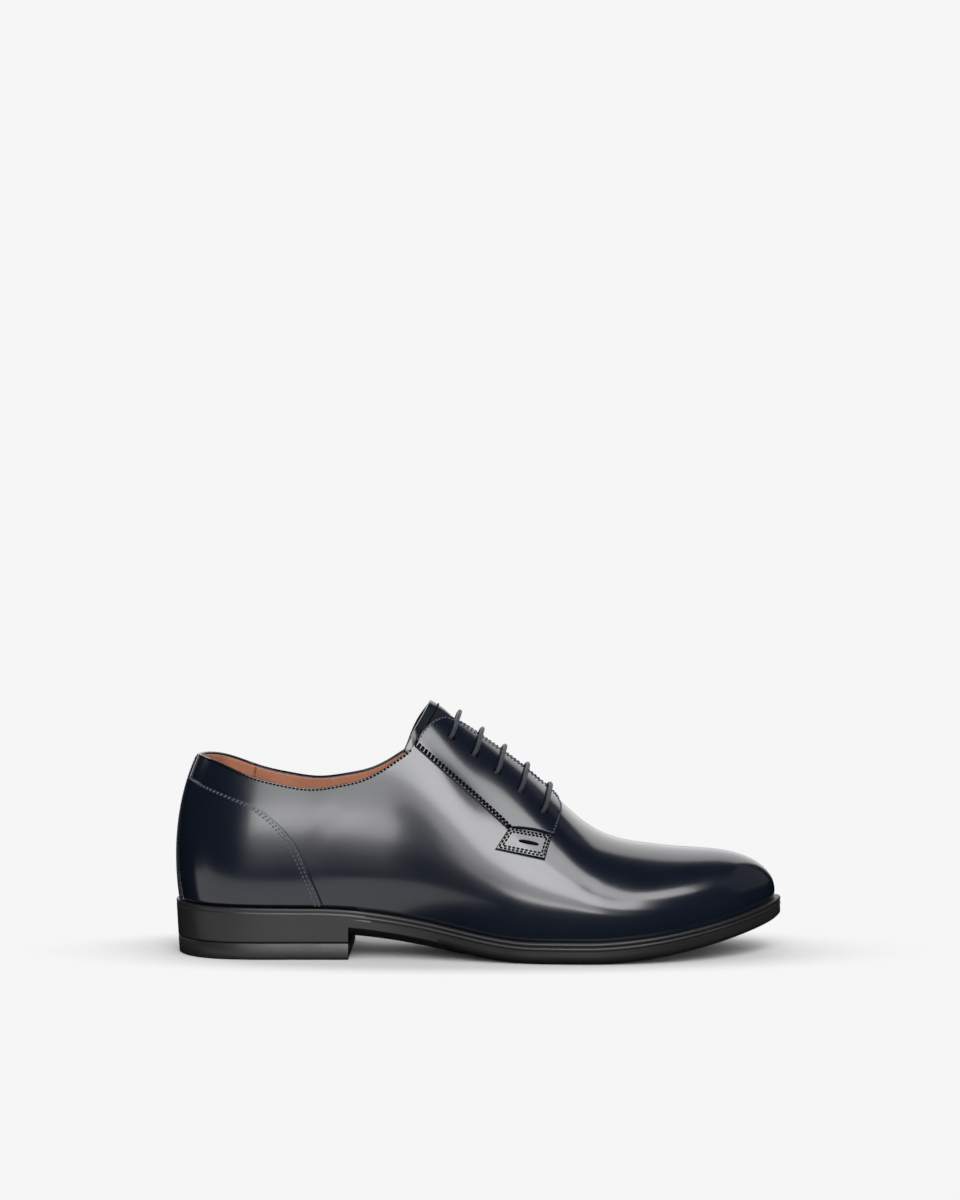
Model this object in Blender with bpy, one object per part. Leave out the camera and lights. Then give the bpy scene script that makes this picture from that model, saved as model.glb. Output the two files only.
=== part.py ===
"""Right derby shoe, standing empty on its sole.

Metres. +X runs to the toe, +Y to the inner (medial) side and +Z up. The origin lies on the floor, below
the middle of the outsole. Inside the functions x is the distance from the back of the heel.
"""

import math

import bmesh
import bpy
import numpy as np
from mathutils import Vector

# Outsole
SHOE_LENGTH = 0.302
BALL_WIDTH = 0.100
HEEL_WIDTH = 0.068
HEEL_LENGTH = 0.0875
HEEL_HEIGHT = 0.026
SEAT_LIFT = 0.0015
LIFT_HEIGHT = 0.008
HEEL_TAPER = 0.0015
WAIST_THICKNESS = 0.0128
EDGE_THICKNESS = 0.0104
TOE_SPRING = 0.0162
TOE_SPRING_POWER = 1.65
RIB_DEPTH = 0.0008
EDGE_CHAMFER = 0.0006

# Last
INSTEP_HEIGHT = 0.125
WIDEST_HEIGHT = 0.022
LEDGE_HEEL = 0.0027
LEDGE_TOE = 0.0035
TOE_ROUND = 0.0444
TOE_FAN = 0.026
HEEL_FAN = 0.0755
BACK_SQUARENESS = 0.3

# Collar and throat
BACK_HEIGHT = 0.098
MEDIAL_RISE = 0.0012
THROAT_X = 0.1885
THROAT_ROUND = 0.007
FACING_GAP = 0.016

# Leather and inner parts
WALL = 0.0022
OVERLAY = 0.001
CLEARANCE = 0.0003
INSOLE_THICKNESS = 0.003
INSOLE_SLACK = 0.0005
TONGUE_THICKNESS = 0.002
TONGUE_TOP = 0.1265
TONGUE_RAKE = 0.0125
TONGUE_END = 0.203
TONGUE_SIDE_DROP = 0.029
TONGUE_END_HALF_WIDTH = 0.017
STRIP_HALF_TOP = 0.007
STRIP_HALF_FOOT = 0.013

# Lace and eyelets
EYELET_COUNT = 5
FIRST_EYELET_X = 0.1368
EYELET_PITCH = 0.01135
EYELET_DROP = 0.012
EYELET_RADIUS = 0.0024
LACE_RADIUS = 0.0011
BAR_LEAN = 0.003
LACE_STEP = 0.0036

# Mesh fineness
UPPER_STATIONS = 38
SOLE_STATIONS = 35
INSOLE_STATIONS = 24
LOWER_ROWS = 3
UPPER_ROWS = 7

LATERAL = -1
MEDIAL = 1
WAIST_FROM = 0.235 * SHOE_LENGTH
FLAT_FROM = 0.590 * SHOE_LENGTH
FLAT_TO = 0.680 * SHOE_LENGTH
REAR_RULE_TO = 0.5 * SHOE_LENGTH
LACE_DEPTH = WALL + 2 * CLEARANCE + LACE_RADIUS
LACE_LIFT = 2 * CLEARANCE + OVERLAY + LACE_RADIUS
TONGUE_DEPTH = LACE_DEPTH + LACE_RADIUS + 2 * CLEARANCE
TONGUE_TUCK = WALL + 2 * CLEARANCE

# Outsole outline: x as a share of the length, then the lateral and the medial half width as shares of
# the local width, which goes from the heel width to the ball width.
OUTLINE = (
    (0.0166, 0.250, 0.250),
    (0.0430, 0.383, 0.383),
    (0.0900, 0.474, 0.474),
    (0.1490, 0.500, 0.500),
    (0.2100, 0.493, 0.478),
    (0.2800, 0.462, 0.420),
    (0.3500, 0.415, 0.335),
    (0.4300, 0.411, 0.301),
    (0.4970, 0.434, 0.332),
    (0.5630, 0.470, 0.395),
    (0.6290, 0.495, 0.455),
    (0.6900, 0.500, 0.490),
    (0.7450, 0.487, 0.500),
    (0.7950, 0.462, 0.485),
    (0.8440, 0.413, 0.452),
    (0.8940, 0.340, 0.390),
    (0.9270, 0.273, 0.330),
    (0.9600, 0.187, 0.250),
    (0.9850, 0.098, 0.165),
)
TOE_TIP_OFFSET = 0.034

# Sections of the last: x as a share of the length, crown height as a share of the instep height, crown
# offset to the medial side as a share of the ball width, height of the widest level over the feather as
# a share of its height at the heel, lateral bulge, medial bulge and crown radius as shares of the ball
# width.
LAST = (
    (0.00, 1.088, 0.000, 1.00, 0.016, 0.016, 0.24),
    (0.10, 1.088, 0.000, 0.95, 0.018, 0.020, 0.24),
    (0.22, 1.088, 0.010, 0.91, 0.020, 0.040, 0.24),
    (0.33, 1.072, 0.025, 0.95, 0.035, 0.080, 0.24),
    (0.43, 0.984, 0.040, 1.00, 0.035, 0.090, 0.22),
    (0.50, 0.862, 0.050, 0.91, 0.025, 0.060, 0.22),
    (0.56, 0.751, 0.055, 0.77, 0.018, 0.030, 0.27),
    (0.63, 0.602, 0.060, 0.64, 0.015, 0.018, 0.42),
    (0.666, 0.522, 0.060, 0.60, 0.015, 0.016, 0.54),
    (0.70, 0.468, 0.060, 0.55, 0.015, 0.015, 0.62),
    (0.78, 0.418, 0.055, 0.45, 0.015, 0.015, 0.72),
    (0.86, 0.402, 0.045, 0.36, 0.013, 0.013, 0.66),
    (0.93, 0.400, 0.038, 0.25, 0.009, 0.009, 0.50),
    (1.00, 0.400, 0.034, 0.14, 0.006, 0.006, 0.40),
)

# Collar: x as a share of the length, then the height as a share of the back height plus a share of the
# instep height.
TOPLINE = (
    (0.000, 1.000, 0.000),
    (0.051, 0.998, 0.000),
    (0.089, 0.962, 0.000),
    (0.133, 0.907, 0.000),
    (0.181, 0.869, 0.000),
    (0.230, 0.848, 0.000),
    (0.276, 0.432, 0.340),
    (0.315, 0.224, 0.527),
    (0.353, 0.000, 0.751),
    (0.377, 0.000, 0.790),
    (0.393, 0.000, 0.819),
    (0.409, 0.000, 0.867),
    (0.425, 0.000, 0.909),
    (0.436, 0.000, 0.927),
    (0.455, 0.000, 0.936),
)

# Half width of the throat between the facings: x as a share of the length, half width as a share of the
# facing gap.
THROAT = (
    (0.370, 1.700),
    (0.410, 1.400),
    (0.425, 1.210),
    (0.437, 1.000),
    (0.451, 0.810),
    (0.470, 0.660),
    (0.500, 0.550),
    (0.530, 0.500),
    (0.640, 0.430),
)

# Ribs of the sole's edge: depth below the rim as a share of the edge thickness, relief as a share of the
# rib depth.
RIBS = (
    (0.000, -1.00),
    (0.030, -0.25),
    (0.080, 0.00),
    (0.145, -0.12),
    (0.190, -0.80),
    (0.240, -0.12),
    (0.365, 0.00),
    (0.405, -0.55),
)

# Foot of the sole's edge, below the ribs: depth as a share of what is left, and inset as a share of the
# edge thickness, for forefoot, waist and heel in turn.
EDGE_FOOT = (
    (0.05, 0.00, 0.05, 0.00, 0.05, 0.00),
    (0.58, 0.00, 0.45, 0.00, 0.96, 0.00),
    (0.88, 0.16, 0.72, 0.31, 0.98, 0.01),
    (1.00, 0.31, 1.00, 0.77, 1.00, 0.06),
)

# Counter's front edge in the side view: x as a share of the length, height as a share of the back height.
COUNTER_EDGE = (
    (0.020, 0.890),
    (0.075, 0.835),
    (0.134, 0.764),
    (0.158, 0.721),
    (0.182, 0.657),
    (0.206, 0.563),
    (0.223, 0.454),
    (0.241, 0.331),
    (0.256, 0.200),
)

# Facing in the side view, its rear seam and the tab below it: x as a share of the length, height as a
# share of the instep height.
FACING_REAR = (
    (0.396, 0.826),
    (0.5440, 0.506),
    (0.5490, 0.502),
    (0.5255, 0.430),
    (0.6800, 0.362),
)

# Facing's front edge in plan: x as a share of the length, distance from the crown line as a share of the
# ball width.
FACING_FRONT = (
    (0.6060, -0.030),
    (0.6180, 0.045),
    (0.6285, 0.080),
    (0.6345, 0.135),
    (0.6335, 0.210),
    (0.6285, 0.290),
    (0.6165, 0.400),
    (0.6035, 0.470),
    (0.5900, 0.600),
)


def clear_scene():
    """Removes every object of the scene."""
    for thing in list(bpy.data.objects):
        bpy.data.objects.remove(thing, do_unlink=True)


def principled(name, colour, roughness):
    """A Principled material of one colour."""
    made = bpy.data.materials.new(name)
    made.use_nodes = True
    shader = made.node_tree.nodes["Principled BSDF"]
    shader.inputs["Base Color"].default_value = (*colour, 1.0)
    shader.inputs["Roughness"].default_value = roughness
    shader.inputs["Metallic"].default_value = 0.0
    return made


def smooth_step(value, low, high):
    """0 below low, 1 above high, and a smooth rise between."""
    share = np.clip((value - low) / (high - low), 0.0, 1.0)
    return share * share * (3 - 2 * share)


def spline_through(knots, values, closed=False):
    """The cubic spline with continuous curvature through the values, natural at its ends or periodic."""
    knots = np.asarray(knots, float)
    values = np.asarray(values, float)
    gap = np.diff(knots)
    rise = np.diff(values, axis=0) / gap.reshape(-1, *[1] * (values.ndim - 1))
    count = len(knots) - 1 if closed else len(knots)
    system = np.zeros((count, count))
    right = np.zeros((count, *values.shape[1:]))
    for i in range(count):
        if not closed and i in (0, count - 1):
            system[i, i] = 1.0
            continue
        before = gap[i - 1]
        after = gap[i]
        system[i, (i - 1) % count] += before
        system[i, i] += 2 * (before + after)
        system[i, (i + 1) % count] += after
        right[i] = 6 * (rise[i] - rise[i - 1])
    bend = np.linalg.solve(system, right)
    if closed:
        bend = np.concatenate([bend, bend[:1]])

    def curve(place):
        place = np.asarray(place, float)
        cell = np.clip(np.searchsorted(knots, place) - 1, 0, len(gap) - 1)
        wide = gap[cell]
        up = (place - knots[cell]) / wide
        down = 1 - up
        if values.ndim > 1:
            wide, up, down = wide[..., None], up[..., None], down[..., None]
        bow = (down**3 - down) * bend[cell] + (up**3 - up) * bend[cell + 1]
        return down * values[cell] + up * values[cell + 1] + bow * wide * wide / 6

    return curve


def table_column(table, column, scale):
    """Column of a table as a smooth function of x, held at its end values outside the table."""
    rows = np.array(table)
    knots = rows[:, 0] * SHOE_LENGTH
    curve = spline_through(knots, rows[:, column] * scale)
    return lambda x: curve(np.clip(x, knots[0], knots[-1]))


crown_height = table_column(LAST, 1, INSTEP_HEIGHT)
crown_offset = table_column(LAST, 2, BALL_WIDTH)
widest_rise = table_column(LAST, 3, WIDEST_HEIGHT)
bulge = {LATERAL: table_column(LAST, 4, BALL_WIDTH), MEDIAL: table_column(LAST, 5, BALL_WIDTH)}
crown_radius = table_column(LAST, 6, BALL_WIDTH)
collar_of_back = table_column(TOPLINE, 1, BACK_HEIGHT)
collar_of_instep = table_column(TOPLINE, 2, INSTEP_HEIGHT)
throat_half = table_column(THROAT, 1, FACING_GAP)


def sole_bottom(x):
    """Height of the sole's underside: flat under the ball, up over the waist, and up to the toe."""
    waist_top = HEEL_HEIGHT - SEAT_LIFT - WAIST_THICKNESS
    back = np.clip((FLAT_FROM - x) / (FLAT_FROM - WAIST_FROM), 0, 1)
    front = np.clip((x - FLAT_TO) / (SHOE_LENGTH - FLAT_TO), 0, 1)
    return waist_top * np.sin(back * math.pi / 2) ** 2 + TOE_SPRING * front**TOE_SPRING_POWER


def sole_thickness(x):
    """Thickness of the sole at its edge, more in the waist than under the ball."""
    return EDGE_THICKNESS + (WAIST_THICKNESS - EDGE_THICKNESS) * waist_share(x)


def waist_share(x):
    """1 in the waist and 0 under the ball."""
    return 1 - smooth_step(x, 0.40 * SHOE_LENGTH, FLAT_FROM)


def rim_height(x):
    """Height of the sole's upper face, which the upper and the insole stand on."""
    seat = SEAT_LIFT * np.clip(1 - x / HEEL_LENGTH, 0, 1) ** 2
    return sole_bottom(x) + sole_thickness(x) + seat


class PlanSide:
    """One side of the outsole's outline from the heel's back to the toe: points and outward normals."""

    def __init__(self, side, points, normals):
        self.side = side
        self.x = points[:, 0]
        self.y = points[:, 1]
        self.normal_x = normals[:, 0]
        self.normal_y = normals[:, 1]
        ledge = LEDGE_HEEL + (LEDGE_TOE - LEDGE_HEEL) * smooth_step(self.x, 0.1 * SHOE_LENGTH, 0.6 * SHOE_LENGTH)
        out = bulge[side](self.x)
        self.feather_x = self.x - ledge * self.normal_x
        self.feather_y = self.y - ledge * self.normal_y
        self.contour_x = self.feather_x + out * self.normal_x
        self.contour_y = self.feather_y + out * self.normal_y
        self.width_squared = (self.contour_y - crown_offset(self.contour_x)) ** 2

    def read(self, name, x):
        """The named value at distance x from the heel's back."""
        return np.interp(x, self.x, getattr(self, name))

    def inset(self, x, depth):
        """Plan point on this side, moved in from the outline by depth."""
        across = self.read("y", x) - depth * self.read("normal_y", x)
        return x - depth * self.read("normal_x", x), across

    def half_width(self, x):
        """Distance from the crown line to the widest contour at x."""
        return np.sqrt(np.interp(x, self.contour_x, self.width_squared))


def plan_sides():
    """Both sides of the outsole's outline, from one closed spline through the outline's table."""
    rows = np.array(OUTLINE)
    x = rows[:, 0] * SHOE_LENGTH
    width = HEEL_WIDTH + (BALL_WIDTH - HEEL_WIDTH) * smooth_step(rows[:, 0], 0.2, 0.55)
    back = np.array([[0.0, 0.0]])
    tip = np.array([[SHOE_LENGTH, TOE_TIP_OFFSET * BALL_WIDTH]])
    lateral = np.column_stack([x, -rows[:, 1] * width])
    medial = np.column_stack([x, rows[:, 2] * width])
    ring = np.concatenate([back, lateral, tip, medial[::-1], back])
    along = np.concatenate([[0], np.cumsum(np.linalg.norm(np.diff(ring, axis=0), axis=1))])
    curve = spline_through(along, ring, closed=True)
    samples = 1600
    points = curve(np.arange(samples) / samples * along[-1])
    heading = np.roll(points, -1, axis=0) - np.roll(points, 1, axis=0)
    normals = np.column_stack([heading[:, 1], -heading[:, 0]])
    normals /= np.linalg.norm(normals, axis=1)[:, None]
    start = int(np.argmin(points[:, 0]))
    points = np.roll(points, -start, axis=0)
    normals = np.roll(normals, -start, axis=0)
    turn = int(np.argmax(points[:, 0]))
    there = np.arange(turn + 1)
    home = np.concatenate([[0], np.arange(samples - 1, turn - 1, -1)])
    return {
        LATERAL: PlanSide(LATERAL, points[there], normals[there]),
        MEDIAL: PlanSide(MEDIAL, points[home], normals[home]),
    }


PLAN = plan_sides()


def stations(count, fixed=()):
    """Values of x from the heel's back to the toe, closer where the outline turns or the collar ends."""
    x = PLAN[LATERAL].x
    half = (np.interp(x, PLAN[MEDIAL].x, PLAN[MEDIAL].y) - PLAN[LATERAL].y) / 2
    steps = np.hypot(np.diff(x), np.diff(half))
    mid = (x[1:] + x[:-1]) / 2
    weight = 1 + 1.3 * np.exp(-mid / 0.030) + 1.3 * np.exp(-(SHOE_LENGTH - mid) / 0.030)
    weight += 0.8 * np.exp(-(((mid - TONGUE_TOP) / 0.014) ** 2))
    along = np.concatenate([[0], np.cumsum(steps * weight)])
    placed = np.interp(np.linspace(0, along[-1], count), along, x)
    for value in fixed:
        near = np.abs(placed - value) < 0.0016
        near[[0, -1]] = False
        placed = np.sort(np.append(placed[~near], value))
    return placed


def feather_height(x):
    """Height of the upper's lower edge, just over the sole."""
    return rim_height(x) + CLEARANCE


def widest_height(x):
    """Height of the level at which the last is widest."""
    return feather_height(x) + widest_rise(x)


def ridge_x(contour_x):
    """Where the column that starts at the contour ends on the crown line: ahead of it at the heel, behind
    it at the toe, so that the columns fan round both ends."""
    rear = np.clip(1 - contour_x / (0.33 * SHOE_LENGTH), 0, 1)
    start = 0.78 * SHOE_LENGTH
    front = np.clip((contour_x - start) / (SHOE_LENGTH - LEDGE_TOE - start), 0, 1)
    return contour_x + HEEL_FAN * rear**2 - TOE_FAN * front**2


def crown_rise(x):
    """Height of the crown over the widest level, rounded off to nothing at the toe."""
    tip = PLAN[LATERAL].contour_x[-1]
    round_share = np.clip((x - tip + TOE_ROUND) / TOE_ROUND, 0, 1)
    return (crown_height(x) - widest_height(x)) * np.sqrt(1 - round_share**3)


def squareness(side, x):
    """How much fuller than an ellipse the section is, so that its crown has the table's radius."""
    wide = PLAN[side].half_width(x)
    rise = np.maximum(crown_rise(x), 0.001)
    by_radius = np.clip(1 - wide**2 / (crown_radius(x) * rise), -0.8, 0.9)
    toe = smooth_step(x, 0.86 * SHOE_LENGTH, 0.965 * SHOE_LENGTH)
    heel = 1 - smooth_step(x, 0.05 * SHOE_LENGTH, 0.25 * SHOE_LENGTH)
    return by_radius * (1 - toe) * (1 - heel) + BACK_SQUARENESS * heel


def section_height(side, x, share):
    """Height of the section at x, at a share of the half width from the crown line: an ellipse times a
    factor that grows with the squareness."""
    share = np.clip(share, 0, 1)
    form = (1 - share**2) * (1 + squareness(side, x) * share**2)
    return widest_height(x) + crown_rise(x) * np.sqrt(np.maximum(form, 0))


def lasted_point(side, station, angle):
    """Point of the lasted surface on the column from station, at an angle from the widest level (0) to the
    crown line (90 degrees)."""
    plan = PLAN[side]
    from_x = plan.read("contour_x", station)
    from_y = plan.read("contour_y", station)
    to_x = ridge_x(from_x)
    to_y = crown_offset(to_x)
    lean = np.cos(angle)
    x = to_x + (from_x - to_x) * lean
    y = to_y + (from_y - to_y) * lean
    rear = from_x < REAR_RULE_TO
    across = np.abs(y - crown_offset(x)) / np.maximum(plan.half_width(x), 1e-6)
    share = np.where(rear, lean, np.where(lean > 1 - 1e-9, 1.0, across))
    z = section_height(side, np.where(rear, from_x, x), share)
    return np.stack(np.broadcast_arrays(x, y, z), axis=-1)


def surface_at(side, x, distance):
    """Point on the lasted surface at x and at a distance from the crown line, with its outward normal."""
    step = 1e-4

    def point(at_x, at_distance):
        share = at_distance / PLAN[side].half_width(at_x)
        y = crown_offset(at_x) + side * at_distance
        return np.array([at_x, y, section_height(side, at_x, share)], float)

    along = point(x + step, distance) - point(x - step, distance)
    across = point(x, distance + step) - point(x, distance - step)
    normal = np.cross(along, across) * side
    return point(x, distance), normal / np.linalg.norm(normal)


def half_throat(x):
    """Half width of the throat, which ends in a round U."""
    into = np.clip((x - THROAT_X + THROAT_ROUND) / THROAT_ROUND, 0, 1)
    return throat_half(x) * np.sqrt(1 - into**2)


def collar_height(side, x):
    """Height of the collar's edge."""
    rise = MEDIAL_RISE * np.exp(-(((x - WAIST_FROM) / (0.12 * SHOE_LENGTH)) ** 2))
    return collar_of_back(x) + collar_of_instep(x) + (rise if side == MEDIAL else 0)


def end_angles(side, placed):
    """Angle at which each column ends: at the collar's height, at the throat's edge or on the crown."""
    angles = np.radians(np.linspace(0, 90, 361))
    points = lasted_point(side, placed[:, None], angles[None, :])
    x = points[..., 0]
    to_collar = points[..., 2] - collar_height(side, x)
    to_throat = half_throat(x) - np.abs(points[..., 1] - crown_offset(x))
    share = smooth_step(x, 0.375 * SHOE_LENGTH, 0.445 * SHOE_LENGTH)
    beyond = to_collar * (1 - share) + to_throat * share
    ends = np.full(len(placed), math.pi / 2)
    for i in np.flatnonzero(placed < THROAT_X - 1e-9):
        outside = np.flatnonzero(beyond[i] >= 0)
        if len(outside) and outside[0] > 0:
            j = outside[0]
            share = beyond[i, j - 1] / (beyond[i, j - 1] - beyond[i, j])
            ends[i] = angles[j - 1] + share * (angles[j] - angles[j - 1])
    return ends


class Surface:
    """The upper's outer face as one welded grid: points, outward normals, and the faces of each side."""

    def __init__(self):
        fixed = [THROAT_X] + [THROAT_X - share * THROAT_ROUND for share in (0.12, 0.4, 0.8)]
        self.stations = stations(UPPER_STATIONS, fixed)
        columns = len(self.stations)
        rows = LOWER_ROWS + UPPER_ROWS + 1
        closed = self.stations >= THROAT_X - 1e-9
        points = []
        self.index = {}
        for side in (LATERAL, MEDIAL):
            grid = self.side_points(side)
            index = np.full((columns, rows), -1)
            if side == MEDIAL:
                index[[0, -1]] = self.index[LATERAL][[0, -1]]
                index[closed, -1] = self.index[LATERAL][closed, -1]
            new = index < 0
            index[new] = len(points) + np.arange(new.sum())
            points.extend(grid[new])
            self.index[side] = index
        self.points = np.array(points)
        self.normals = self.vertex_normals()

    def side_points(self, side):
        """Grid of points on one side, a column from the feather to the collar, throat or crown each."""
        plan = PLAN[side]
        ends = end_angles(side, self.stations)
        shares = np.arange(UPPER_ROWS + 1) / UPPER_ROWS
        above = lasted_point(side, self.stations[:, None], ends[:, None] * shares)
        foot = np.column_stack([plan.read("feather_x", self.stations), plan.read("feather_y", self.stations)])
        foot_z = feather_height(foot[:, 0])
        rise = (np.arange(LOWER_ROWS) / LOWER_ROWS)[None, :]
        tuck = ((1 - rise) ** 2)[..., None]
        below = np.empty((len(self.stations), LOWER_ROWS, 3))
        below[..., :2] = above[:, :1, :2] + (foot[:, None] - above[:, :1, :2]) * tuck
        below[..., 2] = foot_z[:, None] + (above[:, :1, 2] - foot_z[:, None]) * rise
        return np.concatenate([below, above], axis=1)

    def faces(self, side, first=0, last=None):
        """Triangles of one side between two columns, pointing out, two for each cell of the grid."""
        index = self.index[side][first:last]
        corners = [index[:-1, :-1], index[1:, :-1], index[1:, 1:], index[:-1, 1:]]
        a, b, c, d = (corner.ravel() for corner in corners)
        found = np.stack([a, b, d, b, c, d], axis=1).reshape(-1, 3)
        return found if side == LATERAL else found[:, ::-1]

    def vertex_normals(self):
        """Mean of the neighbouring faces' normals at each point."""
        faces = np.concatenate([self.faces(LATERAL), self.faces(MEDIAL)])
        corner = self.points[faces]
        normal = np.cross(corner[:, 1] - corner[:, 0], corner[:, 2] - corner[:, 0])
        total = np.zeros_like(self.points)
        for k in range(3):
            np.add.at(total, faces[:, k], normal)
        return total / np.linalg.norm(total, axis=1)[:, None]

    def column_near(self, x):
        """Index of the station nearest to x."""
        return int(np.argmin(np.abs(self.stations - x)))


def add_mesh(name, points, faces, material):
    """Adds a closed mesh, its x measured from the heel's back, with its faces pointing out."""
    points = np.asarray(points, float) - [SHOE_LENGTH / 2, 0, 0]
    mesh = bpy.data.meshes.new(name)
    mesh.from_pydata(points.tolist(), [], [list(map(int, face)) for face in faces])
    work = bmesh.new()
    work.from_mesh(mesh)
    bmesh.ops.remove_doubles(work, verts=work.verts, dist=1e-6)
    bmesh.ops.recalc_face_normals(work, faces=work.faces)
    work.to_mesh(mesh)
    work.free()
    made = bpy.data.objects.new(name, mesh)
    if material:
        mesh.materials.append(material)
        mesh.shade_smooth()
        mesh.set_sharp_from_angle(angle=math.radians(35))
    else:
        made.hide_render = True
        made.display_type = "WIRE"
    bpy.context.scene.collection.objects.link(made)
    return made


def shell(surface, faces, outer, inner):
    """Points and faces of the closed wall between two offsets of the surface."""
    used = np.unique(faces)
    local = np.full(len(surface.points), -1)
    local[used] = np.arange(len(used))
    faces = local[faces]
    base = surface.points[used]
    normal = surface.normals[used]
    points = np.concatenate([base + normal * outer, base + normal * inner])
    count = len(used)
    all_faces = [list(face) for face in faces]
    all_faces += [[count + i for i in face[::-1]] for face in faces]
    edges = {(int(f[k]), int(f[(k + 1) % 3])) for f in faces for k in range(3)}
    for i, j in sorted(edges):
        if (j, i) not in edges:
            all_faces.append([j, i, count + i, count + j])
    return points, all_faces


def loft(rings):
    """Points and faces of the solid through closed rings of equal length, its ends capped."""
    count = len(rings[0])
    points = np.concatenate(rings)
    faces = []
    for r in range(len(rings) - 1):
        for k in range(count):
            after = (k + 1) % count
            faces.append([r * count + k, r * count + after, (r + 1) * count + after, (r + 1) * count + k])
    for r in (0, len(rings) - 1):
        if np.ptp(rings[r][:, 1]) > 1e-5:
            faces.append([r * count + k for k in range(count)])
    return points, faces


def prism(name, outline, low, high, axis):
    """Cutter: an outline in the plane across the axis (1 for Y, 2 for Z, 0 for X), drawn from low to high."""
    outline = np.asarray(outline, float)
    points = np.insert(np.concatenate([outline, outline]), axis, 0.0, axis=1)
    count = len(outline)
    points[:count, axis] = low
    points[count:, axis] = high
    faces = [[k, (k + 1) % count, count + (k + 1) % count, count + k] for k in range(count)]
    faces += [list(range(count)), list(range(count, 2 * count))]
    return add_mesh(name, points, faces, None)


def combine(target, cutter, operation):
    """Boolean of the target with a cutter."""
    modifier = target.modifiers.new(cutter.name, "BOOLEAN")
    modifier.operation = operation
    modifier.object = cutter
    modifier.solver = "EXACT"


def edge_points(side, x, heel):
    """Points down the sole's side wall at x, from the rim to the underside: the ribs, then the foot of
    the edge. With heel set the wall goes on down the heel block."""
    rim = rim_height(x)
    bottom = LIFT_HEIGHT + CLEARANCE if heel else sole_bottom(x)
    relief = RIB_DEPTH * smooth_step(x, HEEL_LENGTH, HEEL_LENGTH + 0.012)
    waist = waist_share(x)
    drops = [depth * EDGE_THICKNESS for depth, out in RIBS]
    insets = [-out * relief for depth, out in RIBS]
    left = rim - bottom - drops[-1]
    for fore_depth, fore_in, waist_depth, waist_in, heel_depth, heel_in in EDGE_FOOT:
        depth = heel_depth if heel else fore_depth + (waist_depth - fore_depth) * waist
        inset = heel_in if heel else fore_in + (waist_in - fore_in) * waist
        drops.append(drops[len(RIBS) - 1] + depth * left)
        insets.append(-RIBS[-1][1] * relief + inset * EDGE_THICKNESS)
    taper = HEEL_TAPER * np.clip(1 - x / HEEL_LENGTH, 0, 1) / HEEL_HEIGHT
    found = []
    for drop, inset in zip(drops, insets):
        plan_x, plan_y = PLAN[side].inset(x, inset + taper * drop)
        found.append([plan_x, plan_y, rim - drop])
    return np.array(found)


def across(start, end, count):
    """Points between two points, both left out."""
    shares = np.arange(1, count + 1) / (count + 1)
    return start + (end - start) * shares[:, None]


def build_sole(material):
    """The moulded sole and heel block in one, with the breast of the heel as a step."""
    placed = stations(SOLE_STATIONS, [HEEL_LENGTH, FLAT_FROM, FLAT_TO])
    rings = []
    for x in placed:
        for heel in [True, False] if x == HEEL_LENGTH else [x < HEEL_LENGTH]:
            lateral = edge_points(LATERAL, x, heel)
            medial = edge_points(MEDIAL, x, heel)[::-1]
            under = across(lateral[-1], medial[0], 3)
            over = across(medial[-1], lateral[0], 1)
            rings.append(np.concatenate([lateral, under, medial, over]))
    return add_mesh("sole", *loft(rings), material)


def slab_ring(x, edge):
    """Closed ring across the shoe at x through (inset, height) points listed from the top edge down."""
    sides = []
    for side in (LATERAL, MEDIAL):
        plan = [(*PLAN[side].inset(x, inset), height) for inset, height in edge]
        sides.append(np.array(plan, float))
    lateral, medial = sides[0], sides[1][::-1]
    return np.concatenate([lateral, across(lateral[-1], medial[0], 1), medial, across(medial[-1], lateral[0], 1)])


def build_top_lift(material):
    """The wearing layer under the heel, flat on the floor."""
    placed = stations(SOLE_STATIONS, [HEEL_LENGTH])
    rings = []
    for x in placed[placed <= HEEL_LENGTH]:
        taper = HEEL_TAPER * np.clip(1 - x / HEEL_LENGTH, 0, 1) / HEEL_HEIGHT
        top = taper * (HEEL_HEIGHT - LIFT_HEIGHT)
        foot = taper * HEEL_HEIGHT
        edge = [
            (top, LIFT_HEIGHT),
            (foot, EDGE_CHAMFER),
            (foot + EDGE_CHAMFER, 0.0),
        ]
        rings.append(slab_ring(x, edge))
    return add_mesh("top_lift", *loft(rings), material)


def build_insole(material):
    """The insole, on the sole and inside the upper's wall."""
    rings = []
    for x in stations(INSOLE_STATIONS):
        ledge = LEDGE_HEEL + (LEDGE_TOE - LEDGE_HEEL) * smooth_step(x, 0.1 * SHOE_LENGTH, 0.6 * SHOE_LENGTH)
        inset = ledge + WALL + CLEARANCE + INSOLE_SLACK
        base = rim_height(PLAN[LATERAL].inset(x, inset)[0]) + CLEARANCE
        rings.append(slab_ring(x, [(inset, base + INSOLE_THICKNESS), (inset, base)]))
    return add_mesh("insole", *loft(rings), material)


def eyelets(side):
    """Centre and normal of each eyelet on one side, from the top one down."""
    found = []
    for k in range(EYELET_COUNT):
        x = FIRST_EYELET_X + k * EYELET_PITCH
        found.append(surface_at(side, x, row_distance(side, x, EYELET_DROP)))
    return found


def row_distance(side, x, drop):
    """Distance from the crown line at which the section has dropped by the given height."""
    distances = np.linspace(0, 0.9, 400) * PLAN[side].half_width(x)
    heights = section_height(side, x, distances / PLAN[side].half_width(x))
    return float(np.interp(-(crown_height(x) - drop), -heights, distances))


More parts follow.
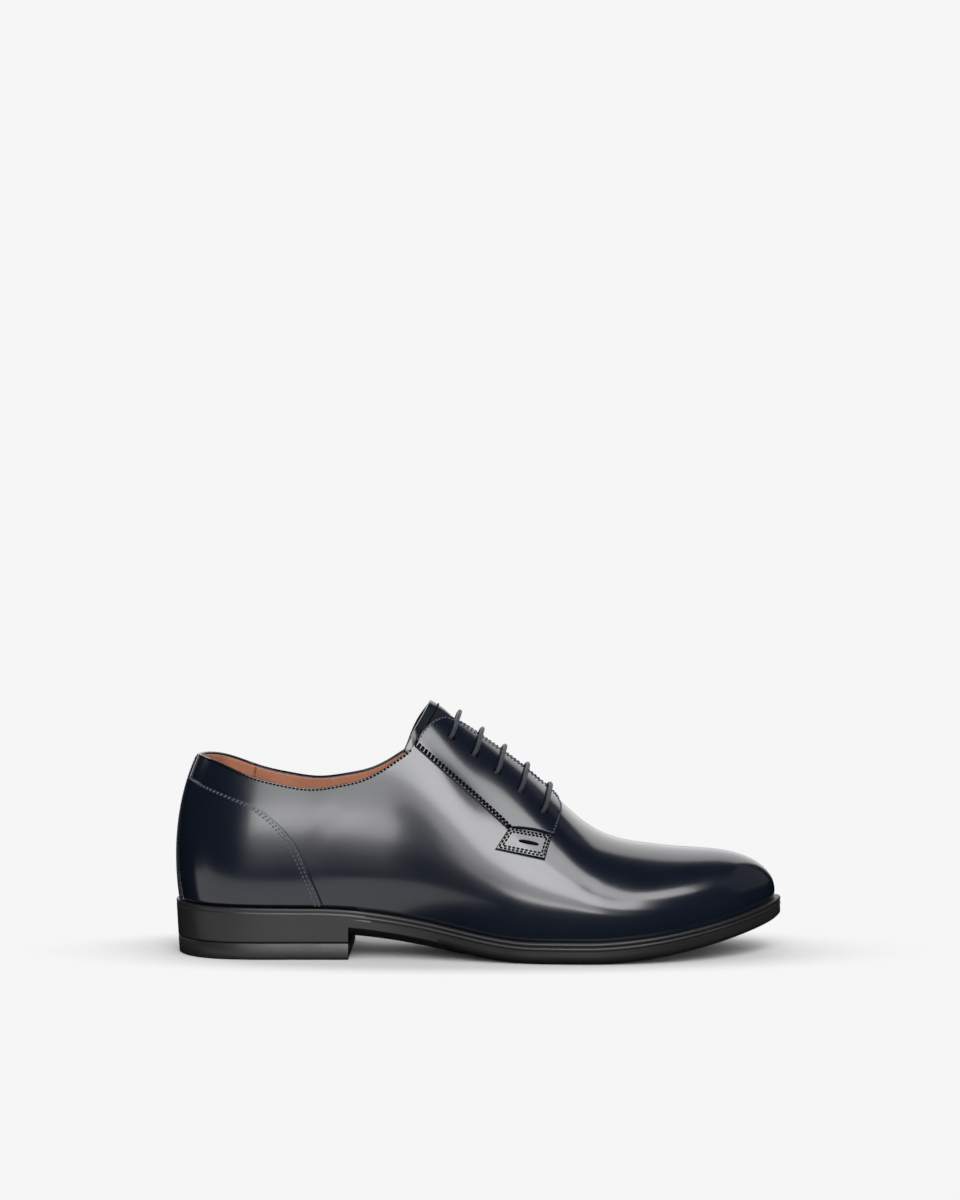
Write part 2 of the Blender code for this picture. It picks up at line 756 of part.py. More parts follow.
def eyelet_cutter(side):
    """The five punches of one side."""
    points = []
    faces = []
    corners = 10
    turn = np.arange(corners) * 2 * math.pi / corners
    for centre, normal in eyelets(side):
        first = np.cross(normal, [1.0, 0.0, 0.0])
        first /= np.linalg.norm(first)
        second = np.cross(normal, first)
        start = len(points)
        for reach in (-2 * WALL, 2 * WALL):
            ring = np.cos(turn)[:, None] * first + np.sin(turn)[:, None] * second
            points.extend(centre + normal * reach + ring * EYELET_RADIUS)
        for k in range(corners):
            after = (k + 1) % corners
            faces.append([start + k, start + after, start + corners + after, start + corners + k])
        faces.append([start + k for k in range(corners)])
        faces.append([start + corners + k for k in range(corners)])
    name = "punches_lateral" if side == LATERAL else "punches_medial"
    return add_mesh(name, points, faces, None)


def build_upper(surface, punches, material):
    """Vamp and quarters as one hollow wall, open at the collar, the throat and underneath."""
    faces = np.concatenate([surface.faces(LATERAL), surface.faces(MEDIAL)])
    made = add_mesh("upper", *shell(surface, faces, 0.0, -WALL), material)
    for punch in punches.values():
        combine(made, punch, "DIFFERENCE")
    return made


def build_facings(surface, punches, material):
    """The facings with their tabs, each cut from a layer over the upper by its side view and its plan."""
    rear = np.array(FACING_REAR) * [SHOE_LENGTH, INSTEP_HEIGHT]
    above = 1.2 * INSTEP_HEIGHT
    frame = [[rear[-1, 0], above], [0.37 * SHOE_LENGTH, above], [0.37 * SHOE_LENGTH, rear[0, 1]]]
    side_view = prism("facing_side_view", [*rear, *frame], -BALL_WIDTH, BALL_WIDTH, 1)
    front = np.array(FACING_FRONT) * [SHOE_LENGTH, BALL_WIDTH]
    knots = np.arange(len(front))
    smooth = spline_through(knots, front)(np.linspace(0, knots[-1], 25))
    for side, name in ((LATERAL, "lateral"), (MEDIAL, "medial")):
        line = smooth.copy()
        line[:, 1] = crown_offset(THROAT_X) + side * smooth[:, 1]
        rear_x = 0.35 * SHOE_LENGTH
        frame = [[rear_x, line[-1, 1]], [rear_x, line[0, 1]]]
        plan_view = prism("facing_plan_" + name, [*line, *frame], 0, 1.3 * INSTEP_HEIGHT, 2)
        first = surface.column_near(0.36 * SHOE_LENGTH)
        last = surface.column_near(0.68 * SHOE_LENGTH)
        faces = surface.faces(side, first, last)
        made = add_mesh("eyestay_" + name, *shell(surface, faces, CLEARANCE + OVERLAY, CLEARANCE), material)
        combine(made, side_view, "INTERSECT")
        combine(made, plan_view, "INTERSECT")
        combine(made, punches[side], "DIFFERENCE")


def strip_outline(slack):
    """Back strip seen from behind: (y, z) corners, wider at its foot."""
    top = 1.05 * BACK_HEIGHT
    foot = HEEL_HEIGHT + 2 * CLEARANCE
    half_top = STRIP_HALF_TOP + slack
    half_foot = STRIP_HALF_FOOT + slack
    return [[-half_foot, foot], [half_foot, foot], [half_top, top], [-half_top, top]]


def build_heel_panels(surface, material):
    """The counter panel of each side and the strip over the back seam between them."""
    rows = np.array(COUNTER_EDGE) * [SHOE_LENGTH, BACK_HEIGHT]
    knots = np.arange(len(rows))
    edge = spline_through(knots, rows)(np.linspace(0, knots[-1], 25))
    behind = -0.1 * SHOE_LENGTH
    along = np.linspace(edge[-1, 0], 0, 7)
    foot = np.column_stack([along, rim_height(along) + 2 * CLEARANCE])
    edge = edge[edge[:, 1] > foot[0, 1] + CLEARANCE]
    frame = [[behind, foot[-1, 1]], [behind, edge[0, 1]]]
    side_view = prism("counter_side_view", [*edge, *foot, *frame], -BALL_WIDTH, BALL_WIDTH, 1)
    ahead = 0.15 * SHOE_LENGTH
    strip = prism("strip_cut", strip_outline(0.0), behind, ahead, 0)
    slot = prism("strip_slot", strip_outline(CLEARANCE), behind, ahead, 0)
    last = surface.column_near(0.31 * SHOE_LENGTH)
    for side, name in ((LATERAL, "lateral"), (MEDIAL, "medial")):
        wall = shell(surface, surface.faces(side, 0, last), CLEARANCE + OVERLAY, CLEARANCE)
        made = add_mesh("counter_" + name, *wall, material)
        combine(made, side_view, "INTERSECT")
        combine(made, slot, "DIFFERENCE")
    last = surface.column_near(0.10 * SHOE_LENGTH)
    faces = np.concatenate([surface.faces(LATERAL, 0, last), surface.faces(MEDIAL, 0, last)])
    made = add_mesh("back_strip", *shell(surface, faces, CLEARANCE + OVERLAY, CLEARANCE), material)
    combine(made, strip, "INTERSECT")


def tongue_depth(x, distance):
    """How far the tongue lies below the upper's outer face: deep under the facings, where the lace runs
    between, shallow at its free end and close under the vamp."""
    lace = smooth_step(x, 0.39 * SHOE_LENGTH, 0.435 * SHOE_LENGTH)
    tuck = smooth_step(x, THROAT_X - 0.005, THROAT_X)
    side = TONGUE_TUCK + (TONGUE_DEPTH - TONGUE_TUCK) * lace * (1 - tuck)
    swell = 1 - smooth_step(x, 0.43 * SHOE_LENGTH, 0.53 * SHOE_LENGTH)
    middle = CLEARANCE + (side - CLEARANCE) * (1 - swell)
    reach = np.clip(distance / np.maximum(throat_half(x), 1e-4), 0, 1)
    return side - (side - middle) * (1 - reach**2) ** 2


def build_tongue(material):
    """The tongue, from its free end over the instep to its seam under the vamp."""
    lengthwise = np.linspace(0, 1, 15)
    crosswise = np.linspace(-1, 1, 11)
    outer = np.empty((len(lengthwise), len(crosswise), 3))
    inner = np.empty_like(outer)
    for i, u in enumerate(lengthwise):
        for j, v in enumerate(crosswise):
            side = LATERAL if v < 0 else MEDIAL
            start = TONGUE_TOP - TONGUE_RAKE * abs(v) ** 2.5
            x = start + (TONGUE_END - start) * u
            half = row_distance(side, x, TONGUE_SIDE_DROP)
            half += (TONGUE_END_HALF_WIDTH - half) * smooth_step(u, 0.0, 0.9)
            distance = max(abs(v) * half, 2e-4)
            point, normal = surface_at(side, x, distance)
            depth = tongue_depth(x, distance)
            outer[i, j] = point - normal * depth
            inner[i, j] = point - normal * (depth + TONGUE_THICKNESS)
    rings = [np.concatenate([outer[i], inner[i, ::-1]]) for i in range(len(lengthwise))]
    return add_mesh("tongue", *loft(rings), material)


def lace_bar(start_side, k):
    """Points of bar number k over the facings, from one side's eyelet to the other's. It comes up inside
    the punched hole, bends over the facing's face and leans towards the toe in the middle."""
    x = FIRST_EYELET_X + k * EYELET_PITCH
    found = []
    for side, order in ((start_side, 1), (-start_side, -1)):
        row = row_distance(side, x, EYELET_DROP)
        places = [
            (row - 0.26 * EYELET_RADIUS, LACE_LIFT - 0.6 * LACE_RADIUS),
            (row - 1.00 * EYELET_RADIUS, LACE_LIFT + 0.4 * LACE_RADIUS),
            (0.60 * row, LACE_LIFT),
            (0.22 * row, LACE_LIFT),
        ]
        for distance, lift in places[::order]:
            at = x + BAR_LEAN * (1 - (distance / row) ** 2)
            point, normal = surface_at(side, at, distance)
            found.append(point + normal * lift)
    return found


def eyelet_at(side, k, drop=EYELET_DROP):
    """Point on the facing's row at eyelet number k, at the given drop from the crown, and its normal."""
    x = FIRST_EYELET_X + k * EYELET_PITCH
    return surface_at(side, x, row_distance(side, x, drop))


def beside(side, k, drop):
    """Point of the lace under the facing at eyelet number k, aside of it by its own drop."""
    centre, normal = eyelet_at(side, k, drop)
    return centre - normal * LACE_DEPTH


def dip(side, k, toward):
    """The two points where the lace turns under the facing below eyelet k, on its way to a point."""
    centre, normal = eyelet_at(side, k)
    way = toward - centre
    way -= normal * way.dot(normal)
    way /= np.linalg.norm(way)
    return [
        centre + way * 0.25 * EYELET_RADIUS - normal * (WALL + 0.5 * LACE_RADIUS),
        centre + way * 1.2 * EYELET_RADIUS - normal * LACE_DEPTH,
    ]


def lace_route():
    """Route of the lace: five bars in the order 1, 3, 5, 4, 2 with runs under the facings between. Where a
    run passes an eyelet in use, it keeps aside of the lace there. Both ends stop at the top eyelets."""
    order = (0, 2, 4, 3, 1)
    outward = 1.25 * EYELET_DROP
    inward = 0.78 * EYELET_DROP
    side = MEDIAL
    route = [beside(side, order[0], EYELET_DROP)]
    for step, k in enumerate(order):
        leave = -side
        if step:
            before = order[step - 1]
            route += dip(side, k, eyelet_at(side, before)[0])[::-1]
        route.append(eyelet_at(side, k)[0])
        route += lace_bar(side, k)
        route.append(eyelet_at(leave, k)[0])
        last = step + 1 == len(order)
        after = 0 if last else order[step + 1]
        route += dip(leave, k, eyelet_at(leave, after)[0])
        if last:
            route.append(beside(leave, after, inward))
        elif abs(after - k) == 2:
            route.append(beside(leave, (k + after) / 2, outward if after > k else inward))
        side = leave
    return np.array(route)


def build_lace(material):
    """The lace as one round tube through its route, with points in between on the longer stretches."""
    route = lace_route()
    gaps = np.linalg.norm(np.diff(route, axis=0), axis=1)
    knots = np.concatenate([[0], np.cumsum(gaps**0.5)])
    places = [knots[:1]]
    for i, gap in enumerate(gaps):
        pieces = max(1, round(gap / LACE_STEP))
        places.append(knots[i] + (knots[i + 1] - knots[i]) * np.arange(1, pieces + 1) / pieces)
    points = spline_through(knots, route)(np.concatenate(places))
    curve = bpy.data.curves.new("lace", "CURVE")
    curve.dimensions = "3D"
    curve.bevel_depth = LACE_RADIUS
    curve.bevel_resolution = 2
    curve.use_fill_caps = True
    spline = curve.splines.new("POLY")
    spline.points.add(len(points) - 1)
    for place, point in zip(spline.points, points):
        place.co = (*(Vector(point) - Vector((SHOE_LENGTH / 2, 0, 0))), 1.0)
    curve.materials.append(material)
    made = bpy.data.objects.new("lace", curve)
    bpy.context.scene.collection.objects.link(made)
    return made


def main():
    clear_scene()
    leather = principled("navy_leather", (0.010, 0.014, 0.028), 0.18)
    rubber = principled("black_rubber", (0.030, 0.031, 0.034), 0.55)
    lining = principled("tan_lining", (0.50, 0.24, 0.15), 0.60)
    cord = principled("waxed_cord", (0.035, 0.040, 0.055), 0.50)
    surface = Surface()
    punches = {LATERAL: eyelet_cutter(LATERAL), MEDIAL: eyelet_cutter(MEDIAL)}
    build_sole(rubber)
    build_top_lift(rubber)
    build_insole(lining)
    build_upper(surface, punches, leather)
    build_facings(surface, punches, leather)
    build_heel_panels(surface, leather)
    build_tongue(leather)
    build_lace(cord)


main()
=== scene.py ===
"""Looks of the right derby shoe: polished leather, lining, stitches, lace, moulded sole and the studio.

Metres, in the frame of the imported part: +X to the toe, +Y to the inner (medial) side, +Z up. Inside the
functions s is the distance from the back of the heel, so X = s - half the shoe's length.
"""

import math

import bmesh
import bpy
import numpy as np
from bpy.props import FloatProperty, FloatVectorProperty, PointerProperty
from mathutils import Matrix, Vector


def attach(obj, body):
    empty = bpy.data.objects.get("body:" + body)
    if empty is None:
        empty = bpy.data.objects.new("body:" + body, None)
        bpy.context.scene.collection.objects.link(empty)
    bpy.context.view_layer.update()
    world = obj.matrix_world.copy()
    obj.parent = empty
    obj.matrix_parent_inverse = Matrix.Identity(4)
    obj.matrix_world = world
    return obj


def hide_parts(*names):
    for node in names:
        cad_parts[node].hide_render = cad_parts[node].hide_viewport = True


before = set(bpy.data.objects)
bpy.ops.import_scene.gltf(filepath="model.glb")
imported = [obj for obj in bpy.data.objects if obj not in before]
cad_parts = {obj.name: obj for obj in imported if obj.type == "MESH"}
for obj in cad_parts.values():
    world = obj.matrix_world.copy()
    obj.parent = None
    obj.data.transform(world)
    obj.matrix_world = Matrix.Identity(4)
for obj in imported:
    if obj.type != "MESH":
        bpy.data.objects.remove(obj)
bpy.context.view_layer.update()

bl_info = {
    "name": "Derby shoe",
    "version": (1, 0, 0),
    "blender": (4, 5, 0),
    "location": "3D View > Sidebar > Shoe",
    "description": "Builds the leather, lace, sole and studio of a derby shoe round its solids",
    "category": "Object",
}

LATERAL = -1
MEDIAL = 1
SIDES = {LATERAL: "lateral", MEDIAL: "medial"}
LENGTH = 0.302
BALL_WIDTH = 0.100
HEEL_WIDTH = 0.068
HEEL_LENGTH = 0.0875
HEEL_HEIGHT = 0.026
SEAT_LIFT = 0.0015
LIFT_HEIGHT = 0.008
HEEL_TAPER = 0.0015
WAIST_THICKNESS = 0.0128
EDGE_THICKNESS = 0.0104
TOE_SPRING = 0.0162
TOE_SPRING_POWER = 1.65
WAIST_FROM = 0.235 * LENGTH
FLAT_FROM = 0.590 * LENGTH
FLAT_TO = 0.680 * LENGTH

INSTEP_HEIGHT = 0.125
WIDEST_HEIGHT = 0.022
LEDGE_HEEL = 0.0027
LEDGE_TOE = 0.0035
TOE_ROUND = 0.0444
TOE_FAN = 0.026
HEEL_FAN = 0.0755
BACK_SQUARENESS = 0.3
BACK_HEIGHT = 0.098
MEDIAL_RISE = 0.0012
THROAT_X = 0.1885
THROAT_ROUND = 0.007
FACING_GAP = 0.016

WALL = 0.0022
OVERLAY = 0.001
CLEARANCE = 0.0003
LEATHER = 0.0013
INSOLE_THICKNESS = 0.003
INSOLE_SLACK = 0.0005
TONGUE_THICKNESS = 0.002
TONGUE_TOP = 0.1265
TONGUE_RAKE = 0.0125
TONGUE_END = 0.203
TONGUE_SIDE_DROP = 0.029
TONGUE_END_HALF_WIDTH = 0.017
STRIP_HALF_TOP = 0.007
STRIP_HALF_FOOT = 0.013

EYELET_COUNT = 5
FIRST_EYELET_X = 0.1368
EYELET_PITCH = 0.01135
EYELET_DROP = 0.012
EYELET_RADIUS = 0.0024
LACE_RADIUS = 0.0011
BAR_LEAN = 0.003
LACE_DEPTH = WALL + 2 * CLEARANCE + LACE_RADIUS
LACE_LIFT = 2 * CLEARANCE + OVERLAY + LACE_RADIUS
TONGUE_DEPTH = LACE_DEPTH + LACE_RADIUS + 2 * CLEARANCE
TONGUE_TUCK = WALL + 2 * CLEARANCE

# Heights over the wall: the underside of what is laid on it, and the faces of facing, tab and counter.
UNDER_RISE = 0.5 * CLEARANCE
FACING_RISE = CLEARANCE + OVERLAY
TAB_RISE = 0.0019
COUNTER_RISE = 0.0009

# Lining: its thickness, how far it stays below the collar's edge, the hair's breadth to the leather, and
# where its seam runs down (s).
LINING_WALL = 0.0008
LINING_DROP = 0.0004
HAIR_GAP = 0.00005
LINING_SEAM = 0.033

# Rolled edges: radius at a facing, at a laid-on patch, at the upper's cut edge and at the back strip.
FACING_ROLL = 0.0007
PATCH_ROLL = 0.0006
CUT_ROLL = 0.0006
STRIP_ROLL = 0.0008

# Tongue and sock: length and width over which their edges roll, the roll's radius and depth, and how
# deep the sock is dished.
TONGUE_SPAN = (0.085, 0.045)
TONGUE_ROLL = 0.0009
TONGUE_ROLL_DEPTH = 0.0007
SOCK_SPAN = (0.28, 0.07)
SOCK_ROLL = 0.0012
SOCK_ROLL_DEPTH = 0.0008
SOCK_DISH = 0.0005

# Upper's grid: share of its columns behind the throat's end, how they close up toward the toe, and the
# length of a column for each radian, at no rise and how it grows with the crown's rise.
REAR_COLUMNS = 0.66
TOE_PACKING = 1.1
GIRTH_LOW = 0.055
GIRTH_RISE = 0.1

# Sewing: size of a fine stitch, and how far from its edge each row or pair of rows runs.
THREAD_RADIUS = 0.00021
STITCH_PITCH = 0.0019
COLLAR_INSET = 0.0010
FACING_INSET = 0.0012
SEAM_INSETS = (0.0010, 0.0021)
TAB_INSETS = (0.0012, 0.0024)
COUNTER_INSETS = (0.0018, 0.0037)
STRIP_INSET = 0.0014

# Where things start and end: the collar's stitches (height, s share), the facing's side of the throat
# (s) and the arc length from the heel's back within which the counters lie.
COLLAR_ROW_START = 0.094
COLLAR_ROW_END = 0.391
FACING_THROAT_END = 0.1862
COUNTER_REACH = 0.13

# Punched holes: sides of the cutter, its radius as a share of the eyelet's, its ends below and above.
HOLE_SIDES = 24
HOLE_SHARE = 0.92
HOLE_ENDS = (-0.008, 0.006)

# Threads: name, stitch pitch and thread radius as shares of the fine ones, and the stitch's share of the
# pitch.
THREADS = (
    ("fine", 1.0, 1.0, 0.74),
    ("bold", 1.15, 1.7, 0.62),
    ("corded", 1.0, 2.2, 0.82),
    ("rope", 1.15, 2.9, 0.88),
)

# Paper: its shade near the shoe, its glow farther out, and the span over which one becomes the other,
# measured from the shoe's middle, with distances across the shoe counted longer.
PAPER_SHADE = 0.62
PAPER_GLOW = 0.92
FADE_FROM = 0.147
FADE_TO = 0.235
FADE_ACROSS = 2.9
WORLD_STRENGTH = 0.30

# Card that only the leather mirrors: its corners beside the quarter, its height and its glow.
CARD_CORNERS = ((-0.40, -0.19), (-0.05, -0.19), (-0.05, -0.04), (-0.40, -0.04))
CARD_HEIGHT = -0.002
CARD_GLOW = 0.68

# Soft lights: name, place, target, width and height, power in watts.
PANELS = (
    ("soft_low", (-0.055, -1.50, 0.13), (-0.055, 0.0, 0.13), (0.71, 0.16), 2.0),
    ("soft_front", (-0.005, -1.50, 0.40), (-0.005, 0.0, 0.40), (0.71, 0.38), 2.31),
    ("soft_high", (0.08, -1.33, 0.96), (0.04, 0.0, 0.06), (0.95, 0.80), 14.5),
    ("soft_top", (0.54, -0.72, 1.37), (0.0, 0.0, 0.06), (0.92, 0.50), 6.2),
    ("soft_back", (0.0, 1.44, 0.74), (0.0, 0.0, 0.04), (2.0, 1.45), 10.5),
    ("soft_toe", (1.30, 0.30, 0.75), (0.0, 0.0, 0.05), (1.3, 1.0), 0.45),
    ("soft_heel", (-1.20, 0.70, 0.90), (-0.13, 0.0, 0.07), (0.6, 0.7), 3.0),
)
CAMERA_X = 0.0005
SENSOR_WIDTH = 36.0

# Outsole outline: s as a share of the length, lateral and medial half width as shares of the local width.
OUTLINE = (
    (0.0166, 0.250, 0.250),
    (0.0430, 0.383, 0.383),
    (0.0900, 0.474, 0.474),
    (0.1490, 0.500, 0.500),
    (0.2100, 0.493, 0.478),
    (0.2800, 0.462, 0.420),
    (0.3500, 0.415, 0.335),
    (0.4300, 0.411, 0.301),
    (0.4970, 0.434, 0.332),
    (0.5630, 0.470, 0.395),
    (0.6290, 0.495, 0.455),
    (0.6900, 0.500, 0.490),
    (0.7450, 0.487, 0.500),
    (0.7950, 0.462, 0.485),
    (0.8440, 0.413, 0.452),
    (0.8940, 0.340, 0.390),
    (0.9270, 0.273, 0.330),
    (0.9600, 0.187, 0.250),
    (0.9850, 0.098, 0.165),
)
TOE_TIP_OFFSET = 0.034

# Sections of the last: s share, crown height share, crown offset share, share of the widest level,
# lateral bulge, medial bulge, crown radius share.
LAST = (
    (0.00, 1.088, 0.000, 1.00, 0.016, 0.016, 0.24),
    (0.10, 1.088, 0.000, 0.95, 0.018, 0.020, 0.24),
    (0.22, 1.088, 0.010, 0.91, 0.020, 0.040, 0.24),
    (0.33, 1.072, 0.025, 0.95, 0.035, 0.080, 0.24),
    (0.43, 0.984, 0.040, 1.00, 0.035, 0.090, 0.22),
    (0.50, 0.862, 0.050, 0.91, 0.025, 0.060, 0.22),
    (0.56, 0.751, 0.055, 0.77, 0.018, 0.030, 0.27),
    (0.63, 0.602, 0.060, 0.64, 0.015, 0.018, 0.42),
    (0.666, 0.522, 0.060, 0.60, 0.015, 0.016, 0.54),
    (0.70, 0.468, 0.060, 0.55, 0.015, 0.015, 0.62),
    (0.78, 0.418, 0.055, 0.45, 0.015, 0.015, 0.72),
    (0.86, 0.402, 0.045, 0.36, 0.013, 0.013, 0.66),
    (0.93, 0.400, 0.038, 0.25, 0.009, 0.009, 0.50),
    (1.00, 0.400, 0.034, 0.14, 0.006, 0.006, 0.40),
)

# Collar: s share, height as a share of the back height plus a share of the instep height.
TOPLINE = (
    (0.000, 1.000, 0.000),
    (0.051, 0.998, 0.000),
    (0.089, 0.962, 0.000),
    (0.133, 0.907, 0.000),
    (0.181, 0.869, 0.000),
    (0.230, 0.848, 0.000),
    (0.276, 0.432, 0.340),
    (0.315, 0.224, 0.527),
    (0.353, 0.000, 0.751),
    (0.377, 0.000, 0.790),
    (0.393, 0.000, 0.819),
    (0.409, 0.000, 0.867),
    (0.425, 0.000, 0.909),
    (0.436, 0.000, 0.927),
    (0.455, 0.000, 0.936),
)

# Half width of the throat: s share, half width as a share of the facing gap.
THROAT = (
    (0.370, 1.700),
    (0.410, 1.400),
    (0.425, 1.210),
    (0.437, 1.000),
    (0.451, 0.810),
    (0.470, 0.660),
    (0.500, 0.550),
    (0.530, 0.500),
    (0.640, 0.430),
)

# Ribs of the sole's edge: depth below the rim as a share of the edge thickness, relief in millimetres
# on the forefoot, and how much of it the heel keeps.
RIBS = (
    (0.000, -0.60, 0.2),
    (0.022, -0.22, 0.4),
    (0.060, 0.00, 0.0),
    (0.120, 0.00, 0.0),
    (0.160, -0.16, 1.0),
    (0.185, -0.60, 0.4),
    (0.205, -0.60, 0.3),
    (0.230, -0.16, 0.0),
    (0.270, 0.00, 0.0),
    (0.330, 0.00, 0.0),
    (0.350, -0.10, 0.0),
    (0.372, -0.42, 0.0),
    (0.392, -0.42, 0.0),
    (0.415, -0.12, 0.0),
)

# Edge of the heel's wearing layer from its top to its foot: inset and height.
LIFT_LEVELS = (
    (0.0003, LIFT_HEIGHT),
    (0.0, LIFT_HEIGHT - 0.0003),
    (0.0, 0.0008),
    (0.0002, 0.0002),
    (0.0006, 0.0),
)

# Foot of the sole's edge: depth share and inset share for forefoot, waist and heel in turn.
EDGE_FOOT = (
    (0.05, 0.00, 0.05, 0.00, 0.05, 0.00),
    (0.30, 0.00, 0.24, 0.00, 0.50, 0.00),
    (0.58, 0.00, 0.45, 0.00, 0.90, 0.00),
    (0.64, 0.02, 0.50, 0.05, 0.96, 0.00),
    (0.88, 0.16, 0.72, 0.31, 0.98, 0.01),
    (0.96, 0.24, 0.92, 0.66, 0.99, 0.03),
    (1.00, 0.31, 1.00, 0.77, 1.00, 0.06),
)

# Counter's front edge in the side view: s share, height share of the back height.
COUNTER_EDGE = (
    (0.020, 0.890),
    (0.075, 0.835),
    (0.134, 0.764),
    (0.158, 0.721),
    (0.182, 0.657),
    (0.206, 0.563),
    (0.223, 0.454),
    (0.241, 0.331),
    (0.256, 0.200),
)

# Facing in the side view: its rear seam from the collar to the tab, and the tab's corners.
FACING_SEAM = ((0.3955, 0.8250), (0.5447, 0.5120))
TAB = {
    "rear_top": (0.5480, 0.5120),
    "rear_foot": (0.5255, 0.4330),
    "front_foot": (0.6050, 0.3930),
    "front_top": (0.6165, 0.4770),
}

# Facing's front edge in plan: s share, distance from the crown line as a share of the ball width.
FACING_FRONT = (
    (0.6060, -0.030),
    (0.6180, 0.045),
    (0.6285, 0.080),
    (0.6345, 0.135),
    (0.6335, 0.210),
    (0.6285, 0.290),
    (0.6165, 0.400),
    (0.6035, 0.470),
    (0.5900, 0.600),
)

# Soft creases, as a pressed trough: side, s and height of the middle, half length, half width, slope in
# degrees, depth. Lengths in millimetres.
CREASES = (
    (LATERAL, 78.0, 66.0, 17.0, 5.0, 62.0, 0.05),
    (LATERAL, 118.0, 62.0, 24.0, 6.0, -38.0, 0.05),
    (LATERAL, 206.0, 36.0, 18.0, 5.0, 52.0, 0.05),
    (LATERAL, 222.0, 38.0, 16.0, 6.0, 60.0, 0.05),
    (MEDIAL, 84.0, 64.0, 17.0, 5.0, 58.0, 0.06),
    (MEDIAL, 208.0, 36.0, 18.0, 6.0, 54.0, 0.06),
)


def smooth_step(value, low, high):
    """0 below low, 1 above high, and a smooth rise between."""
    share = np.clip((value - low) / (high - low), 0.0, 1.0)
    return share * share * (3 - 2 * share)


def quarter_round(near, radius):
    """Height share of a rolled edge at a distance from it: a quarter circle of the radius."""
    into = np.clip(1 - near / radius, 0, 1)
    return np.sqrt(np.maximum(1 - into**2, 0))


def unit(vectors):
    """The vectors at length one."""
    return vectors / np.linalg.norm(vectors, axis=-1, keepdims=True)


def lengths_along(points, axis=0):
    """Distances along the lines of points that run on an axis, from the first point of each."""
    steps = np.linalg.norm(np.diff(points, axis=axis), axis=-1)
    return np.insert(np.cumsum(steps, axis=axis), 0, 0.0, axis=axis)


def read_line(points, along, places):
    """Points of a polyline at distances along it."""
    return np.stack([np.interp(places, along, column) for column in points.T], axis=-1)


def resampled(points, count):
    """The polyline's points again at even distances along it."""
    along = lengths_along(points)
    return read_line(points, along, np.linspace(0, along[-1], count))


def spline_through(knots, values, closed=False):
    """The cubic spline with continuous curvature through the values, natural at its ends or periodic."""
    knots = np.asarray(knots, float)
    values = np.asarray(values, float)
    gap = np.diff(knots)
    rise = np.diff(values, axis=0) / gap.reshape(-1, *[1] * (values.ndim - 1))
    count = len(knots) - 1 if closed else len(knots)
    system = np.zeros((count, count))
    right = np.zeros((count, *values.shape[1:]))
    for i in range(count):
        if not closed and i in (0, count - 1):
            system[i, i] = 1.0
            continue
        system[i, (i - 1) % count] += gap[i - 1]
        system[i, i] += 2 * (gap[i - 1] + gap[i])
        system[i, (i + 1) % count] += gap[i]
        right[i] = 6 * (rise[i] - rise[i - 1])
    bend = np.linalg.solve(system, right)
    if closed:
        bend = np.concatenate([bend, bend[:1]])

    def curve(place):
        """Value at a place between the knots."""
        place = np.asarray(place, float)
        cell = np.clip(np.searchsorted(knots, place) - 1, 0, len(gap) - 1)
        wide = gap[cell]
        up = (place - knots[cell]) / wide
        down = 1 - up
        if values.ndim > 1:
            wide, up, down = wide[..., None], up[..., None], down[..., None]
        bow = (down**3 - down) * bend[cell] + (up**3 - up) * bend[cell + 1]
        return down * values[cell] + up * values[cell + 1] + bow * wide * wide / 6

    return curve


def table_column(table, column, scale):
    """Column of a table as a smooth function of s, held at its end values outside the table."""
    rows = np.array(table)
    knots = rows[:, 0] * LENGTH
    curve = spline_through(knots, rows[:, column] * scale)
    return lambda s: curve(np.clip(s, knots[0], knots[-1]))


crown_height = table_column(LAST, 1, INSTEP_HEIGHT)
crown_offset = table_column(LAST, 2, BALL_WIDTH)
widest_rise = table_column(LAST, 3, WIDEST_HEIGHT)
bulge = {LATERAL: table_column(LAST, 4, BALL_WIDTH), MEDIAL: table_column(LAST, 5, BALL_WIDTH)}
crown_radius = table_column(LAST, 6, BALL_WIDTH)
collar_of_back = table_column(TOPLINE, 1, BACK_HEIGHT)
collar_of_instep = table_column(TOPLINE, 2, INSTEP_HEIGHT)
throat_half = table_column(THROAT, 1, FACING_GAP)


def sole_bottom(s):
    """Height of the sole's underside: flat under the ball, up over the waist, and up to the toe."""
    waist_top = HEEL_HEIGHT - SEAT_LIFT - WAIST_THICKNESS
    back = np.clip((FLAT_FROM - s) / (FLAT_FROM - WAIST_FROM), 0, 1)
    front = np.clip((s - FLAT_TO) / (LENGTH - FLAT_TO), 0, 1)
    return waist_top * np.sin(back * math.pi / 2) ** 2 + TOE_SPRING * front**TOE_SPRING_POWER


def waist_share(s):
    """1 in the waist and 0 under the ball."""
    return 1 - smooth_step(s, 0.40 * LENGTH, FLAT_FROM)


def rim_height(s):
    """Height of the sole's upper face."""
    seat = SEAT_LIFT * np.clip(1 - s / HEEL_LENGTH, 0, 1) ** 2
    thickness = EDGE_THICKNESS + (WAIST_THICKNESS - EDGE_THICKNESS) * waist_share(s)
    return sole_bottom(s) + thickness + seat


